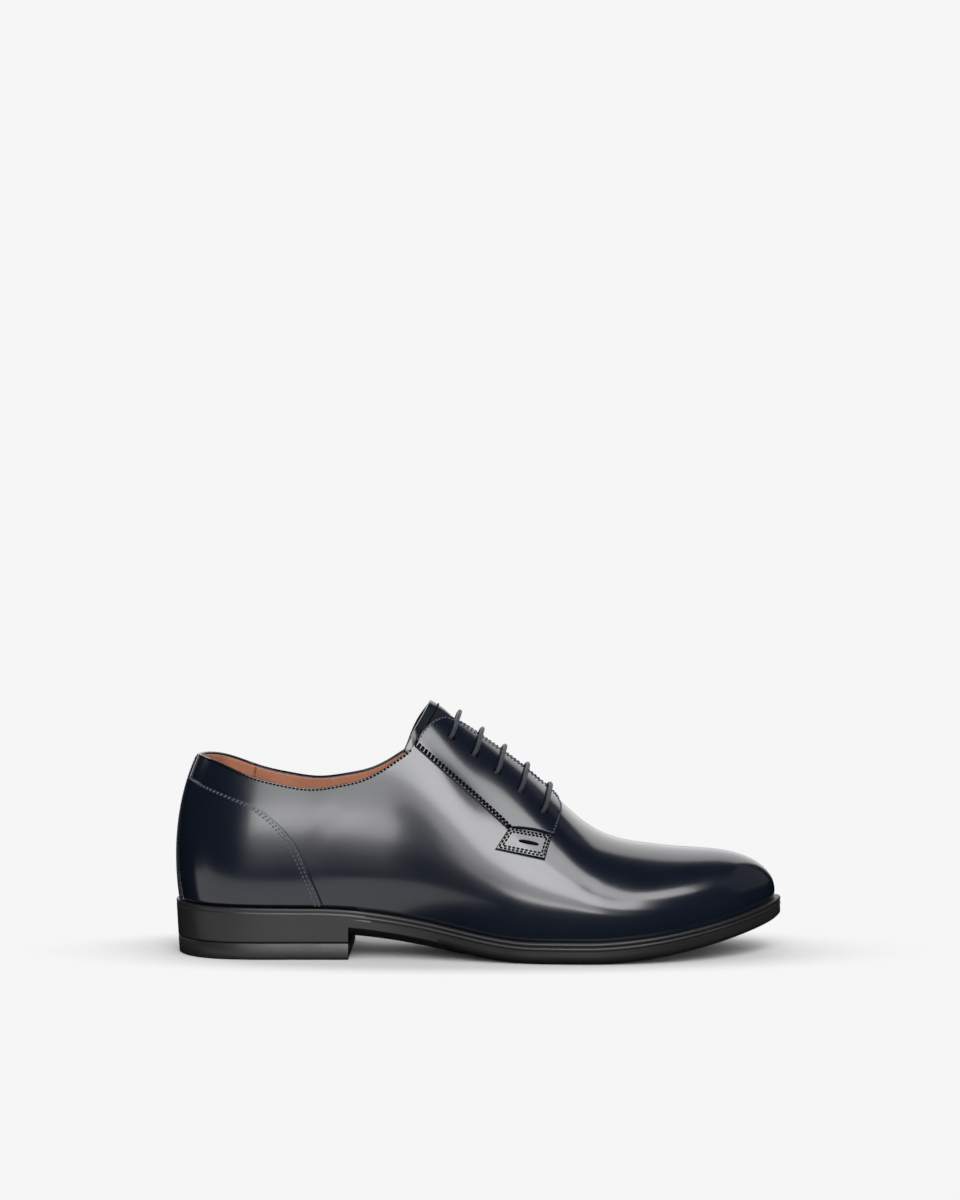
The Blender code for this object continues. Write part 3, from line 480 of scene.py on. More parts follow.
class PlanSide:
    """One side of the outsole's outline, by arc length from the heel's back to the toe."""

    def __init__(self, side, points, normals):
        self.side = side
        self.points = points
        self.normals = normals
        self.arc = lengths_along(points)
        self.feather = points - self.ledge(points[:, 0])[:, None] * normals
        self.contour = self.feather + bulge[side](points[:, 0])[:, None] * normals
        self.width_squared = (self.contour[:, 1] - crown_offset(self.contour[:, 0])) ** 2

    @staticmethod
    def ledge(s):
        """Width of the sole's edge outside the upper."""
        return LEDGE_HEEL + (LEDGE_TOE - LEDGE_HEEL) * smooth_step(s, 0.1 * LENGTH, 0.6 * LENGTH)

    def read(self, name, arc):
        """The named pair of coordinates at an arc length."""
        return read_line(getattr(self, name), self.arc, arc)

    def arc_at(self, s, name="points"):
        """Arc length at which the named line has reached s."""
        return np.interp(s, getattr(self, name)[:, 0], self.arc)

    def half_width(self, s):
        """Distance from the crown line to the widest contour at s."""
        return np.sqrt(np.interp(s, self.contour[:, 0], self.width_squared))


def plan_sides():
    """Both sides of the outsole's outline, from one closed spline through the outline's table."""
    rows = np.array(OUTLINE)
    s = rows[:, 0] * LENGTH
    width = HEEL_WIDTH + (BALL_WIDTH - HEEL_WIDTH) * smooth_step(rows[:, 0], 0.2, 0.55)
    back = np.array([[0.0, 0.0]])
    tip = np.array([[LENGTH, TOE_TIP_OFFSET * BALL_WIDTH]])
    lateral = np.column_stack([s, -rows[:, 1] * width])
    medial = np.column_stack([s, rows[:, 2] * width])
    ring = np.concatenate([back, lateral, tip, medial[::-1], back])
    along = lengths_along(ring)
    samples = 4000
    points = spline_through(along, ring, closed=True)(np.arange(samples) / samples * along[-1])
    heading = np.roll(points, -1, axis=0) - np.roll(points, 1, axis=0)
    normals = unit(np.column_stack([heading[:, 1], -heading[:, 0]]))
    start = int(np.argmin(points[:, 0]))
    points = np.roll(points, -start, axis=0)
    normals = np.roll(normals, -start, axis=0)
    turn = int(np.argmax(points[:, 0]))
    there = np.arange(turn + 1)
    home = np.concatenate([[0], np.arange(samples - 1, turn - 1, -1)])
    picks = {LATERAL: there, MEDIAL: home}
    return {side: PlanSide(side, points[pick], normals[pick]) for side, pick in picks.items()}


PLAN = plan_sides()


def feather_height(s):
    """Height of the upper's lower edge."""
    return rim_height(s) + CLEARANCE


def widest_height(s):
    """Height of the level at which the last is widest."""
    return feather_height(s) + widest_rise(s)


def ridge_s(contour_s):
    """Where the column from the contour ends on the crown line: ahead at the heel, behind at the toe."""
    rear = np.clip(1 - contour_s / (0.33 * LENGTH), 0, 1)
    start = 0.78 * LENGTH
    front = np.clip((contour_s - start) / (LENGTH - LEDGE_TOE - start), 0, 1)
    return contour_s + HEEL_FAN * rear**2 - TOE_FAN * front**2


def crown_rise(s):
    """Height of the crown over the widest level, rounded off to nothing at the toe."""
    tip = PLAN[LATERAL].contour[-1, 0]
    round_share = np.clip((s - tip + TOE_ROUND) / TOE_ROUND, 0, 1)
    return (crown_height(s) - widest_height(s)) * np.sqrt(np.maximum(1 - round_share**3, 0))


def squareness(side, s):
    """How much fuller than an ellipse the section is."""
    wide = PLAN[side].half_width(s)
    rise = np.maximum(crown_rise(s), 0.001)
    by_radius = np.clip(1 - wide**2 / (crown_radius(s) * rise), -0.8, 0.9)
    toe = smooth_step(s, 0.86 * LENGTH, 0.965 * LENGTH)
    heel = 1 - smooth_step(s, 0.05 * LENGTH, 0.25 * LENGTH)
    return by_radius * (1 - toe) * (1 - heel) + BACK_SQUARENESS * heel


def section_height(side, s, share):
    """Height at a share of the half width: the widest level, plus the crown's rise times the root of one
    less the share squared times one plus the squareness times the share squared."""
    share = np.clip(share, 0, 1)
    form = (1 - share**2) * (1 + squareness(side, s) * share**2)
    return widest_height(s) + crown_rise(s) * np.sqrt(np.maximum(form, 0))


def section_share(side, s, height):
    """The share at which the section has this height: the root of the section's own equation, which is
    quadratic in the share squared."""
    up = np.clip((height - widest_height(s)) / np.maximum(crown_rise(s), 1e-4), 0, 1)
    full = squareness(side, s)
    full = np.where(np.abs(full) < 1e-4, 1e-4, full)
    middle = 1 - full
    root = (-middle + np.sqrt(np.maximum(middle**2 + 4 * full * (1 - up**2), 0))) / (2 * full)
    return np.sqrt(np.clip(root, 0, 1))


def creased(side, points, normals):
    """Moves points in along their normals, where a crease of the table passes: depth times a bell curve
    along and across its line in the side view."""
    depth = np.zeros(points.shape[:-1])
    for crease_side, s, z, length, width, slope, deep in CREASES:
        if crease_side != side:
            continue
        off_s = points[..., 0] - s / 1000
        off_z = points[..., 2] - z / 1000
        lean = math.radians(slope)
        along = (off_s * math.cos(lean) + off_z * math.sin(lean)) * 1000 / length
        across = (-off_s * math.sin(lean) + off_z * math.cos(lean)) * 1000 / width
        trough = np.exp(-(along**2)) * (np.exp(-(across**2)) - 0.45 * np.exp(-((across - 1.6) ** 2)))
        depth += deep / 1000 * trough * (points[..., 1] * side > 0)
    return points - normals * depth[..., None]


def lasted_point(side, arc, angle):
    """Point on the column from an arc length, at an angle from the widest level (0) to the crown (90)."""
    start = PLAN[side].read("contour", arc)
    from_s, from_y = start[..., 0], start[..., 1]
    to_s = ridge_s(from_s)
    to_y = crown_offset(to_s)
    lean = np.cos(angle)
    s = to_s + (from_s - to_s) * lean
    y = to_y + (from_y - to_y) * lean
    across = np.abs(y - crown_offset(s)) / np.maximum(PLAN[side].half_width(s), 1e-6)
    rear = from_s < 0.5 * LENGTH
    share = np.where(rear, lean, np.where(lean > 1 - 1e-9, 1.0, across))
    z = section_height(side, np.where(rear, from_s, s), share)
    return np.stack(np.broadcast_arrays(s, y, z), axis=-1)


def wall_point(side, arc, height):
    """Point of the quarters at an arc length and a height: above the widest level by the section's
    inverse, below it the contour drawn in to the feather by the square of the drop."""
    plan = PLAN[side]
    start = plan.read("contour", arc)
    foot = plan.read("feather", arc)
    to_s = ridge_s(start[..., 0])
    share = section_share(side, start[..., 0], height)[..., None]
    ridge = np.stack([to_s, crown_offset(to_s)], axis=-1)
    above = ridge + (start - ridge) * share
    low = feather_height(foot[..., 0])
    drop = np.clip(1 - (height - low) / (widest_height(start[..., 0]) - low), 0, 1)[..., None]
    plan_point = np.where(drop > 0, start + (foot - start) * drop**2, above)
    return np.concatenate([plan_point, np.asarray(height, float)[..., None]], axis=-1)


def crown_point(side, s, distance):
    """Point of the surface at s and at a distance from the crown line."""
    share = distance / PLAN[side].half_width(s)
    y = crown_offset(s) + side * distance
    return np.stack(np.broadcast_arrays(s, y, section_height(side, s, share)), axis=-1)


def surface_at(point_of, turn):
    """Makes the reader of a surface: at two places on it, the point lifted off along the outward normal,
    and that normal, from central differences."""
    step = 1e-4

    def at(side, first, second, lift=0.0):
        """Point and normal at the two places."""
        first, second = np.broadcast_arrays(np.asarray(first, float), np.asarray(second, float))
        one = point_of(side, first + step, second) - point_of(side, first - step, second)
        two = point_of(side, first, second + step) - point_of(side, first, second - step)
        normal = unit(np.cross(one, two) * (turn * side))
        point = creased(side, point_of(side, first, second), normal)
        return point + normal * np.asarray(lift)[..., None], normal

    return at


wall_at = surface_at(wall_point, -1)
crown_at = surface_at(crown_point, 1)


def side_distance(side, s, height):
    """Distance from the crown line of the point that the side view shows at s and a height."""
    return section_share(side, s, height) * PLAN[side].half_width(s)


def row_distance(side, s, drop):
    """Distance from the crown line at which the section has dropped by the given height."""
    return side_distance(side, s, crown_height(s) - drop)


def eyelet_at(side, k, drop=EYELET_DROP):
    """Point on the facing's row at eyelet number k, at the given drop from the crown, and its normal."""
    s = FIRST_EYELET_X + k * EYELET_PITCH
    return crown_at(side, s, row_distance(side, s, drop))


def half_throat(s):
    """Half width of the throat, which ends in a round U."""
    into = np.clip((s - THROAT_X + THROAT_ROUND) / THROAT_ROUND, 0, 1)
    return throat_half(s) * np.sqrt(1 - into**2)


def collar_height(side, s):
    """Height of the collar's edge."""
    rise = MEDIAL_RISE * np.exp(-(((s - WAIST_FROM) / (0.12 * LENGTH)) ** 2))
    return collar_of_back(s) + collar_of_instep(s) + (rise if side == MEDIAL else 0)


def end_angles(side, arcs):
    """Angle at which each column ends: at the collar, at the throat's edge or on the crown."""
    angles = np.radians(np.linspace(0, 90, 721))
    points = lasted_point(side, arcs[:, None], angles[None, :])
    s = points[..., 0]
    to_collar = points[..., 2] - collar_height(side, s)
    to_throat = half_throat(s) - np.abs(points[..., 1] - crown_offset(s))
    share = smooth_step(s, 0.375 * LENGTH, 0.445 * LENGTH)
    beyond = to_collar * (1 - share) + to_throat * share
    after = np.argmax(beyond >= 0, axis=1)
    found = (beyond.max(axis=1) >= 0) & (after > 0)
    rows = np.arange(len(arcs))
    low = beyond[rows, np.maximum(after - 1, 0)]
    high = beyond[rows, after]
    part = -low / np.where(np.abs(high - low) < 1e-12, 1e-12, high - low)
    ends = angles[np.maximum(after - 1, 0)] + np.clip(part, 0, 1) * (angles[1] - angles[0])
    opened = PLAN[side].read("contour", arcs)[:, 0] < THROAT_X
    return np.where(found & opened, ends, math.pi / 2)


def grid_faces(rows, columns, ring=False):
    """Faces of a grid of points, row by row; with ring set the last column joins the first."""
    index = np.arange(rows * columns).reshape(rows, columns)
    if ring:
        index = np.concatenate([index, index[:, :1]], axis=1)
    corners = [index[:-1, :-1], index[1:, :-1], index[1:, 1:], index[:-1, 1:]]
    return np.stack([corner.ravel() for corner in corners], axis=1)


def linked(name, data):
    """A new object of the scene with this data."""
    made = bpy.data.objects.new(name, data)
    bpy.context.scene.collection.objects.link(made)
    return made


def mesh_of(name, points, faces, uv=None, weld=1e-6):
    """A mesh with its doubles merged and its normals out, with a UV pair for each point if given."""
    mesh = bpy.data.meshes.new(name)
    mesh.from_pydata(points, [], np.asarray(faces).tolist() if isinstance(faces, np.ndarray) else faces)
    if uv is not None:
        layer = mesh.uv_layers.new(name="UVMap")
        corner = np.empty(len(mesh.loops), np.int32)
        mesh.loops.foreach_get("vertex_index", corner)
        layer.data.foreach_set("uv", np.asarray(uv, np.float32).reshape(-1, 2)[corner].ravel())
    work = bmesh.new()
    work.from_mesh(mesh)
    bmesh.ops.remove_doubles(work, verts=work.verts, dist=weld)
    bmesh.ops.dissolve_degenerate(work, edges=work.edges, dist=1e-7)
    bmesh.ops.recalc_face_normals(work, faces=work.faces)
    work.to_mesh(mesh)
    work.free()
    return mesh


def new_piece(name, points, faces, material, slot, replaced=(), uv=None, sharp=40, weld=1e-6):
    """Adds a mesh that rides on the shoe's body, its points measured from the heel's back. Edges sharper
    than the given angle stay sharp."""
    points = np.asarray(points, float).reshape(-1, 3) - [LENGTH / 2, 0, 0]
    mesh = mesh_of(name, points, faces, uv, weld)
    mesh.materials.append(material)
    mesh.shade_smooth()
    mesh.set_sharp_from_angle(angle=math.radians(sharp))
    made = linked(name, mesh)
    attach(made, "root")
    if replaced:
        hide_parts(*replaced)
    return made


def closed_sheet(outer, inner):
    """Points and faces of the wall between two equal grids, closed along its four edges."""
    rows, columns = outer.shape[:2]
    points = np.concatenate([outer.reshape(-1, 3), inner.reshape(-1, 3)])
    top = grid_faces(rows, columns)
    index = np.arange(rows * columns).reshape(rows, columns)
    rim = np.concatenate([index[0, :-1], index[:-1, -1], index[-1, :0:-1], index[:0:-1, 0]])
    after = np.roll(rim, -1)
    count = rows * columns
    sides = np.stack([rim, after, after + count, rim + count], axis=1)
    return points, np.concatenate([top, top[:, ::-1] + count, sides])


def edge_roll(rows, columns, size_u, size_v, radius):
    """Height factor of a sheet with rolled edges: a quarter circle of the radius at each border."""
    u = np.minimum(np.linspace(0, 1, rows), np.linspace(1, 0, rows)) * size_u
    v = np.minimum(np.linspace(0, 1, columns), np.linspace(1, 0, columns)) * size_v
    return quarter_round(np.minimum(u[:, None], v[None, :]), radius)


def packed_shares(count, edge):
    """Shares from 0 to 1, packed closer at both ends."""
    even = np.linspace(0, 1, count)
    return even - edge * np.sin(2 * np.pi * even) / (2 * np.pi)


def stitch_row(points, normals, pitch=STITCH_PITCH, radius=THREAD_RADIUS, fill=0.74, sink=0.35):
    """Points and faces of one row of stitches: a short capsule on each step of the path, its ends sunk
    in the leather. The capsule is a profile of rings along the step."""
    along = lengths_along(points)
    count = max(1, int(along[-1] / pitch))
    rings = np.array([-0.5, -0.42, -0.2, 0.2, 0.42, 0.5])
    girth = np.array([0.15, 0.75, 1.0, 1.0, 0.75, 0.15])
    turn = np.arange(6) * math.pi / 3
    middle = (np.arange(count) + 0.5) * along[-1] / count
    place = middle[:, None] + rings[None, :] * fill * along[-1] / count
    centre = read_line(points, along, place)
    up = unit(read_line(normals, along, place))
    beside = np.cross(unit(np.gradient(centre, axis=1)), up)
    centre = centre + up * (radius * (girth - 1 + sink))[None, :, None]
    ring = np.cos(turn)[:, None] * beside[..., None, :] + np.sin(turn)[:, None] * up[..., None, :]
    body = centre[..., None, :] + ring * (radius * girth)[None, :, None, None]
    per = len(rings) * len(turn)
    one = grid_faces(len(rings), len(turn), ring=True)
    faces = (one[None] + per * np.arange(count)[:, None, None]).reshape(-1, 4).tolist()
    first_cap = np.arange(len(turn))
    for start in range(0, count * per, per):
        faces.append((first_cap + start).tolist())
        faces.append((first_cap + start + per - len(turn)).tolist())
    return body.reshape(-1, 3), faces


def join_rows(rows):
    """Points and faces of several meshes as one."""
    points = []
    faces = []
    start = 0
    for row_points, row_faces in rows:
        points.append(row_points)
        faces.extend([[int(i) + start for i in face] for face in row_faces])
        start += len(row_points)
    return np.concatenate(points), faces


def punch(made):
    """Cuts the ten punched holes out of a piece with one exact Boolean, which is then applied."""
    turn = np.arange(HOLE_SIDES) * 2 * math.pi / HOLE_SIDES
    walls = grid_faces(2, HOLE_SIDES, ring=True).tolist()
    caps = [list(range(HOLE_SIDES)), list(range(2 * HOLE_SIDES - 1, HOLE_SIDES - 1, -1))]
    punches = []
    for side in SIDES:
        for centre, normal in zip(*eyelet_at(side, np.arange(EYELET_COUNT))):
            first = unit(np.cross(normal, [1.0, 0.0, 0.0]))
            second = np.cross(normal, first)
            ring = np.cos(turn)[:, None] * first + np.sin(turn)[:, None] * second
            ends = [centre + normal * end + ring * EYELET_RADIUS * HOLE_SHARE for end in HOLE_ENDS]
            punches.append((np.concatenate(ends), walls + caps))
    points, faces = join_rows(punches)
    cutter = linked("punches", mesh_of("punches", points - [LENGTH / 2, 0, 0], faces))
    modifier = made.modifiers.new("punches", "BOOLEAN")
    modifier.operation = "DIFFERENCE"
    modifier.solver = "EXACT"
    modifier.object = cutter
    bpy.context.view_layer.objects.active = made
    bpy.ops.object.modifier_apply(modifier=modifier.name)
    bpy.data.objects.remove(cutter, do_unlink=True)


def shader_of(material):
    """The material's Principled shader."""
    return material.node_tree.nodes["Principled BSDF"]


def base_material(name, colour, roughness, coat=0.0, coat_roughness=0.1, specular=0.5):
    """A Principled material with its uniform values on the shader's own sockets."""
    made = bpy.data.materials.new(name)
    made.use_nodes = True
    values = {
        "Base Color": (*colour, 1.0),
        "Roughness": roughness,
        "Specular IOR Level": specular,
        "Coat Weight": coat,
        "Coat Roughness": coat_roughness,
    }
    for socket, value in values.items():
        shader_of(made).inputs[socket].default_value = value
    return made


def glowing(material, strength):
    """Lets a material shine white."""
    shader_of(material).inputs["Emission Color"].default_value = (1.0, 1.0, 1.0, 1.0)
    shader_of(material).inputs["Emission Strength"].default_value = strength


def add_node(material, kind, **values):
    """A shader node with the given input values and settings."""
    node = material.node_tree.nodes.new(kind)
    for name, value in values.items():
        socket = name.replace("_", " ").title()
        if socket in node.inputs:
            node.inputs[socket].default_value = value
        else:
            setattr(node, name, value)
    return node


def link(material, source, out, target, into):
    """Joins two sockets of a material."""
    material.node_tree.links.new(source.outputs[out], target.inputs[into])


def noise_on(material, scale, detail):
    """A noise texture on object coordinates, in cycles a metre."""
    place = add_node(material, "ShaderNodeTexCoord")
    texture = add_node(material, "ShaderNodeTexNoise", scale=scale, detail=detail)
    link(material, place, "Object", texture, "Vector")
    return texture


def bumped(material, layers):
    """Chains bump nodes into the shader, each from a texture's output, with a strength and a height."""
    last = None
    for texture, out, strength, distance in layers:
        bump = add_node(material, "ShaderNodeBump", strength=strength, distance=distance)
        link(material, texture, out, bump, "Height")
        if last:
            link(material, last, "Normal", bump, "Normal")
        last = bump
    link(material, last, "Normal", shader_of(material), "Normal")


def ramped(material, texture, out, span, stops, socket):
    """Feeds a shader socket from a texture through a colour ramp between the two places of a span."""
    ramp = add_node(material, "ShaderNodeValToRGB")
    for element, place, stop in zip(ramp.color_ramp.elements, span, stops):
        element.position = place
        element.color = stop
    link(material, texture, out, ramp, "Fac")
    link(material, ramp, "Color", shader_of(material), socket)


def tinted(material, texture, out, span, colour, factors):
    """Varies the base colour by a texture, between two multiples of it."""
    stops = [(*[c * factor for c in colour], 1.0) for factor in factors]
    ramped(material, texture, out, span, stops, "Base Color")


def scuffed(material, texture, span, roughness, steps):
    """Varies the roughness by a texture, between two steps from it."""
    stops = [(roughness + step,) * 3 + (1.0,) for step in steps]
    ramped(material, texture, "Fac", span, stops, "Roughness")


def navy_leather(name, colour, roughness):
    """Polished calf: navy with a cloudy dye, a fine pore grain, gentle unevenness and a wax coat."""
    made = base_material(name, colour, roughness, coat=0.50, coat_roughness=0.12, specular=0.8)
    tinted(made, noise_on(made, 28.0, 1.0), "Fac", (0.2, 0.8), colour, (0.9, 1.15))
    scuffed(made, noise_on(made, 40.0, 2.0), (0.2, 0.8), roughness, (-0.03, 0.05))
    waves = noise_on(made, 14.0, 0.0)
    pores = noise_on(made, 1700.0, 2.0)
    bumped(made, [(waves, "Fac", 0.12, 0.003), (pores, "Fac", 0.012, 0.0003)])
    return made


def tan_leather(name, colour):
    """Vegetable-tanned lining: tan with a mottled dye and a soft open grain."""
    made = base_material(name, colour, 0.58, specular=0.3)
    dye = noise_on(made, 70.0, 5.0)
    tinted(made, dye, "Fac", (0.3, 0.7), colour, (0.78, 1.15))
    bumped(made, [(dye, "Fac", 0.1, 0.001), (noise_on(made, 1500.0, 3.0), "Fac", 0.25, 0.0004)])
    return made


def moulded_rubber(name, colour, roughness):
    """Moulded rubber: satin black-grey with a faint cast texture."""
    made = base_material(name, colour, roughness, specular=0.6)
    scuffed(made, noise_on(made, 45.0, 4.0), (0.3, 0.7), roughness, (-0.05, 0.07))
    bumped(made, [(noise_on(made, 1800.0, 2.0), "Fac", 0.12, 0.0003)])
    return made


def tread_rubber(name, colour, roughness):
    """The underside: the same rubber with fine bars across the sole."""
    made = base_material(name, colour, roughness, specular=0.4)
    place = add_node(made, "ShaderNodeTexCoord")
    bars = add_node(made, "ShaderNodeTexWave", scale=95.0, distortion=0.0, bands_direction="X")
    link(made, place, "Object", bars, "Vector")
    cast = noise_on(made, 1200.0, 2.0)
    bumped(made, [(bars, "Fac", 0.6, 0.0006), (cast, "Fac", 0.15, 0.0003)])
    return made


def braided_cord(name, colour):
    """Waxed round lace: two crossed wave patterns on its own UV map make the braid and its painted shading.
    """
    made = base_material(name, colour, 0.42, coat=0.15, coat_roughness=0.35, specular=0.5)
    place = add_node(made, "ShaderNodeTexCoord")
    crossed = add_node(made, "ShaderNodeMath", operation="MAXIMUM")
    for k, lean in enumerate((0.9, -0.9)):
        mapping = add_node(made, "ShaderNodeMapping")
        mapping.inputs["Rotation"].default_value = (0.0, 0.0, lean)
        wave = add_node(made, "ShaderNodeTexWave", scale=2.2, distortion=0.0)
        link(made, place, "UV", mapping, "Vector")
        link(made, mapping, "Vector", wave, "Vector")
        made.node_tree.links.new(wave.outputs["Fac"], crossed.inputs[k])
    # Painted shade and highlight: the colour drops to 0.55 in the braid's grooves and rises to 1.5 on its
    # crests.
    tinted(made, crossed, "Value", (0.2, 1.0), colour, (0.55, 1.5))
    bumped(made, [(crossed, "Value", 0.7, 0.0003)])
    return made


def thread_material(name, colour, gloss):
    """Waxed sewing thread with a fine twist."""
    made = base_material(name, colour, 0.6, specular=gloss)
    twist = noise_on(made, 3500.0, 2.0)
    tinted(made, twist, "Fac", (0.35, 0.65), colour, (0.6, 1.4))
    bumped(made, [(twist, "Fac", 0.4, 0.0002)])
    return made


def material_of(key):
    """The finish of one key, made once from the user's colours."""
    found = bpy.data.materials.get(key)
    if found:
        return found
    finish = bpy.context.scene.derby_finish
    makers = {
        "leather_navy": (navy_leather, finish.leather_colour, finish.leather_roughness),
        "lining_tan": (tan_leather, finish.lining_colour),
        "rubber_edge": (moulded_rubber, finish.rubber_colour, 0.38),
        "rubber_tread": (tread_rubber, finish.rubber_colour, 0.6),
        "lace_cord": (braided_cord, finish.lace_colour),
        "thread_dark": (thread_material, (0.0020, 0.0022, 0.0030), 0.08),
        "thread_tan": (thread_material, [0.6 * c for c in finish.lining_colour], 0.2),
        "thread_navy": (thread_material, finish.thread_colour, 0.4),
    }
    maker, colour, *rest = makers[key]
    return maker(key, tuple(colour), *rest)


def upper_grid(side, columns, rows_below, rows_above, lowered):
    """Grid of the upper's outer face on one side, a column from the feather to the collar, the throat or
    the crown each. Open columns end lower by a length, and their cut edge is rolled in."""
    plan = PLAN[side]
    lead = PLAN[LATERAL]
    rear_count = int(columns * REAR_COLUMNS)
    rear = lead.arc_at(THROAT_X, "contour") * packed_shares(rear_count, 0.25)
    front_shares = np.linspace(0, 1, columns - rear_count + 1)[1:]
    station = rear[-1]
    front = station + (lead.arc[-1] - station) * (1 - (1 - front_shares) ** TOE_PACKING)
    stations = lead.read("contour", front)[:, 0]
    if side == MEDIAL:
        rear = rear * plan.arc_at(THROAT_X, "contour") / station
        front = plan.arc_at(stations, "contour")
        front[-1] = plan.arc[-1]
    arcs = np.concatenate([rear, front])
    ends = end_angles(side, arcs)
    opened = np.arange(len(arcs)) < rear_count - 1
    girth = GIRTH_LOW * (1 + crown_rise(plan.read("contour", arcs)[:, 0]) / GIRTH_RISE)
    ends = ends - np.where(opened, lowered / girth, 0.0)
    above = lasted_point(side, arcs[:, None], ends[:, None] * packed_shares(rows_above + 1, 0.55))
    foot = plan.read("feather", arcs)
    foot_z = feather_height(foot[:, 0])
    rise = np.arange(rows_below) / rows_below
    tuck = ((1 - rise) ** 2)[None, :, None]
    below = np.empty((len(arcs), rows_below, 3))
    below[..., :2] = above[:, :1, :2] + (foot[:, None] - above[:, :1, :2]) * tuck
    below[..., 2] = foot_z[:, None] + (above[:, :1, 2] - foot_z[:, None]) * rise
    grid = np.concatenate([below, above], axis=1)
    normal = np.cross(np.gradient(grid, axis=0), np.gradient(grid, axis=1)) * -side
    normal /= np.maximum(np.linalg.norm(normal, axis=-1, keepdims=True), 1e-12)
    to_edge = lengths_along(grid[:, ::-1], axis=1)[:, ::-1]
    sunk = np.where(opened[:, None], 0.5 * CUT_ROLL * (1 - quarter_round(to_edge, CUT_ROLL)), 0.0)
    return creased(side, grid, normal) - normal * sunk[..., None]


def upper_wall(name, material, slot, replaced, offset, thickness, lowered, columns, rows):
    """The upper's face of both sides welded at the back, the toe and the crown, moved in by an offset
    and given its thickness."""
    sides = []
    for side in SIDES:
        grid = upper_grid(side, columns, 12, rows, lowered)
        cells = grid_faces(*grid.shape[:2])
        sides.append((grid.reshape(-1, 3), cells if side == LATERAL else cells[:, ::-1]))
    made = new_piece(name, *join_rows(sides), material_of(material), slot, replaced, weld=2e-5)
    mesh = made.data
    place = np.empty(len(mesh.vertices) * 3)
    normal = np.empty(len(mesh.vertices) * 3)
    mesh.vertices.foreach_get("co", place)
    mesh.vertices.foreach_get("normal", normal)
    if np.dot(place[1::3], normal[1::3]) < 0:
        mesh.flip_normals()
        normal = -normal
    mesh.vertices.foreach_set("co", place - normal * offset)
    solid = made.modifiers.new("thickness", "SOLIDIFY")
    solid.thickness = thickness
    solid.offset = -1.0
    bpy.context.view_layer.objects.active = made
    bpy.ops.object.modifier_apply(modifier=solid.name)
    punch(made)


def collar_line(side, first, last, count, drop):
    """Points and normals along the collar's edge on one side, a drop below it."""
    arcs = np.linspace(first, last, count)
    return wall_at(side, arcs, lasted_point(side, arcs, end_angles(side, arcs))[:, 2] - drop)


def throat_place(side, s):
    """Distance from the crown line of the collar's or throat's edge at s."""
    arcs = PLAN[side].arc_at(s, "contour")
    top = lasted_point(side, arcs, end_angles(side, arcs))
    return np.abs(top[:, 1] - crown_offset(top[:, 0]))


def facing_borders(side, count, across):
    """The facing's four borders as places (s, distance): rear seam, front, top and foot."""
    seam = np.array(FACING_SEAM) * [LENGTH, INSTEP_HEIGHT]
    rear_s = np.linspace(seam[0, 0], seam[1, 0], count)
    rear_z = np.interp(rear_s, seam[:, 0], seam[:, 1])
    rear = np.column_stack([rear_s, side_distance(side, rear_s, rear_z)])
    rear[0, 1] = throat_place(side, rear_s[:1])[0]
    corner = 0.443 * LENGTH
    top_s = np.linspace(rear_s[0], corner, across)
    top = np.column_stack([top_s, throat_place(side, top_s)])
    throat_s = np.linspace(corner, FACING_THROAT_END, 160)
    throat = np.column_stack([throat_s, throat_place(side, throat_s)])
    rows = np.array(FACING_FRONT)[1:] * [LENGTH, BALL_WIDTH]
    curve = spline_through(np.arange(len(rows)), rows)(np.linspace(0, len(rows) - 1, 300))
    height = section_height(side, curve[:, 0], curve[:, 1] / PLAN[side].half_width(curve[:, 0]))
    curve = curve[height > TAB["front_top"][1] * INSTEP_HEIGHT]
    front = resampled(np.concatenate([throat, curve[2:]]), count)
    foot = front[-1:] + (rear[-1:] - front[-1:]) * np.linspace(1, 0, across)[:, None]
    return rear, front, top, foot


def coons(rear, front, top, foot):
    """Coons patch between four borders: the two ruled patches less the bilinear one."""
    u = np.linspace(0, 1, len(rear))[:, None, None]
    v = np.linspace(0, 1, len(top))[None, :, None]
    ruled = (1 - v) * rear[:, None] + v * front[:, None] + (1 - u) * top[None] + u * foot[None]
    corners = (1 - u) * ((1 - v) * rear[0] + v * front[0]) + u * ((1 - v) * rear[-1] + v * front[-1])
    return ruled - corners


def resample_grid(places, rows, columns):
    """A grid of places read at packed shares along both of its directions."""
    for count, edge in ((rows, 0.5), (columns, 0.6)):
        at = packed_shares(count, edge) * (len(places) - 1)
        low = np.minimum(at.astype(int), len(places) - 2)
        part = (at - low)[:, None, None]
        places = np.swapaxes(places[low] * (1 - part) + places[low + 1] * part, 0, 1)
    return places


def rolled_sheet(side, places, at, high, radius):
    """A skin with rolled edges over a grid of surface places, its face at a height over the wall."""
    base, normal = at(side, places[..., 0], places[..., 1])
    from_rows = lengths_along(base)
    from_columns = lengths_along(base, axis=1)
    near = np.minimum(from_rows, from_rows[-1:] - from_rows)
    near = np.minimum(near, np.minimum(from_columns, from_columns[:, -1:] - from_columns))
    lift = UNDER_RISE + (high - UNDER_RISE) * (0.25 + 0.75 * quarter_round(near, radius))
    return closed_sheet(base + normal * lift[..., None], base + normal * UNDER_RISE)


def inset_line(places, at, side, lift, inset, border):
    """Points and normals of a line that runs inside one border of a patch at a set distance: each cross
    line of the patch is read at that distance from the border."""
    turned = {"rear": places, "front": places[:, ::-1]}
    turned["top"] = np.swapaxes(places, 0, 1)
    turned["foot"] = np.swapaxes(places[::-1], 0, 1)
    lines = turned[border]
    along = lengths_along(at(side, lines[..., 0], lines[..., 1])[0], axis=1)
    after = np.clip((along < inset).sum(axis=1), 1, lines.shape[1] - 1)
    rows = np.arange(len(lines))
    low = along[rows, after - 1]
    part = ((inset - low) / np.maximum(along[rows, after] - low, 1e-9))[:, None]
    place = lines[rows, after - 1] * (1 - part) + lines[rows, after] * part
    return at(side, place[:, 0], place[:, 1], lift)


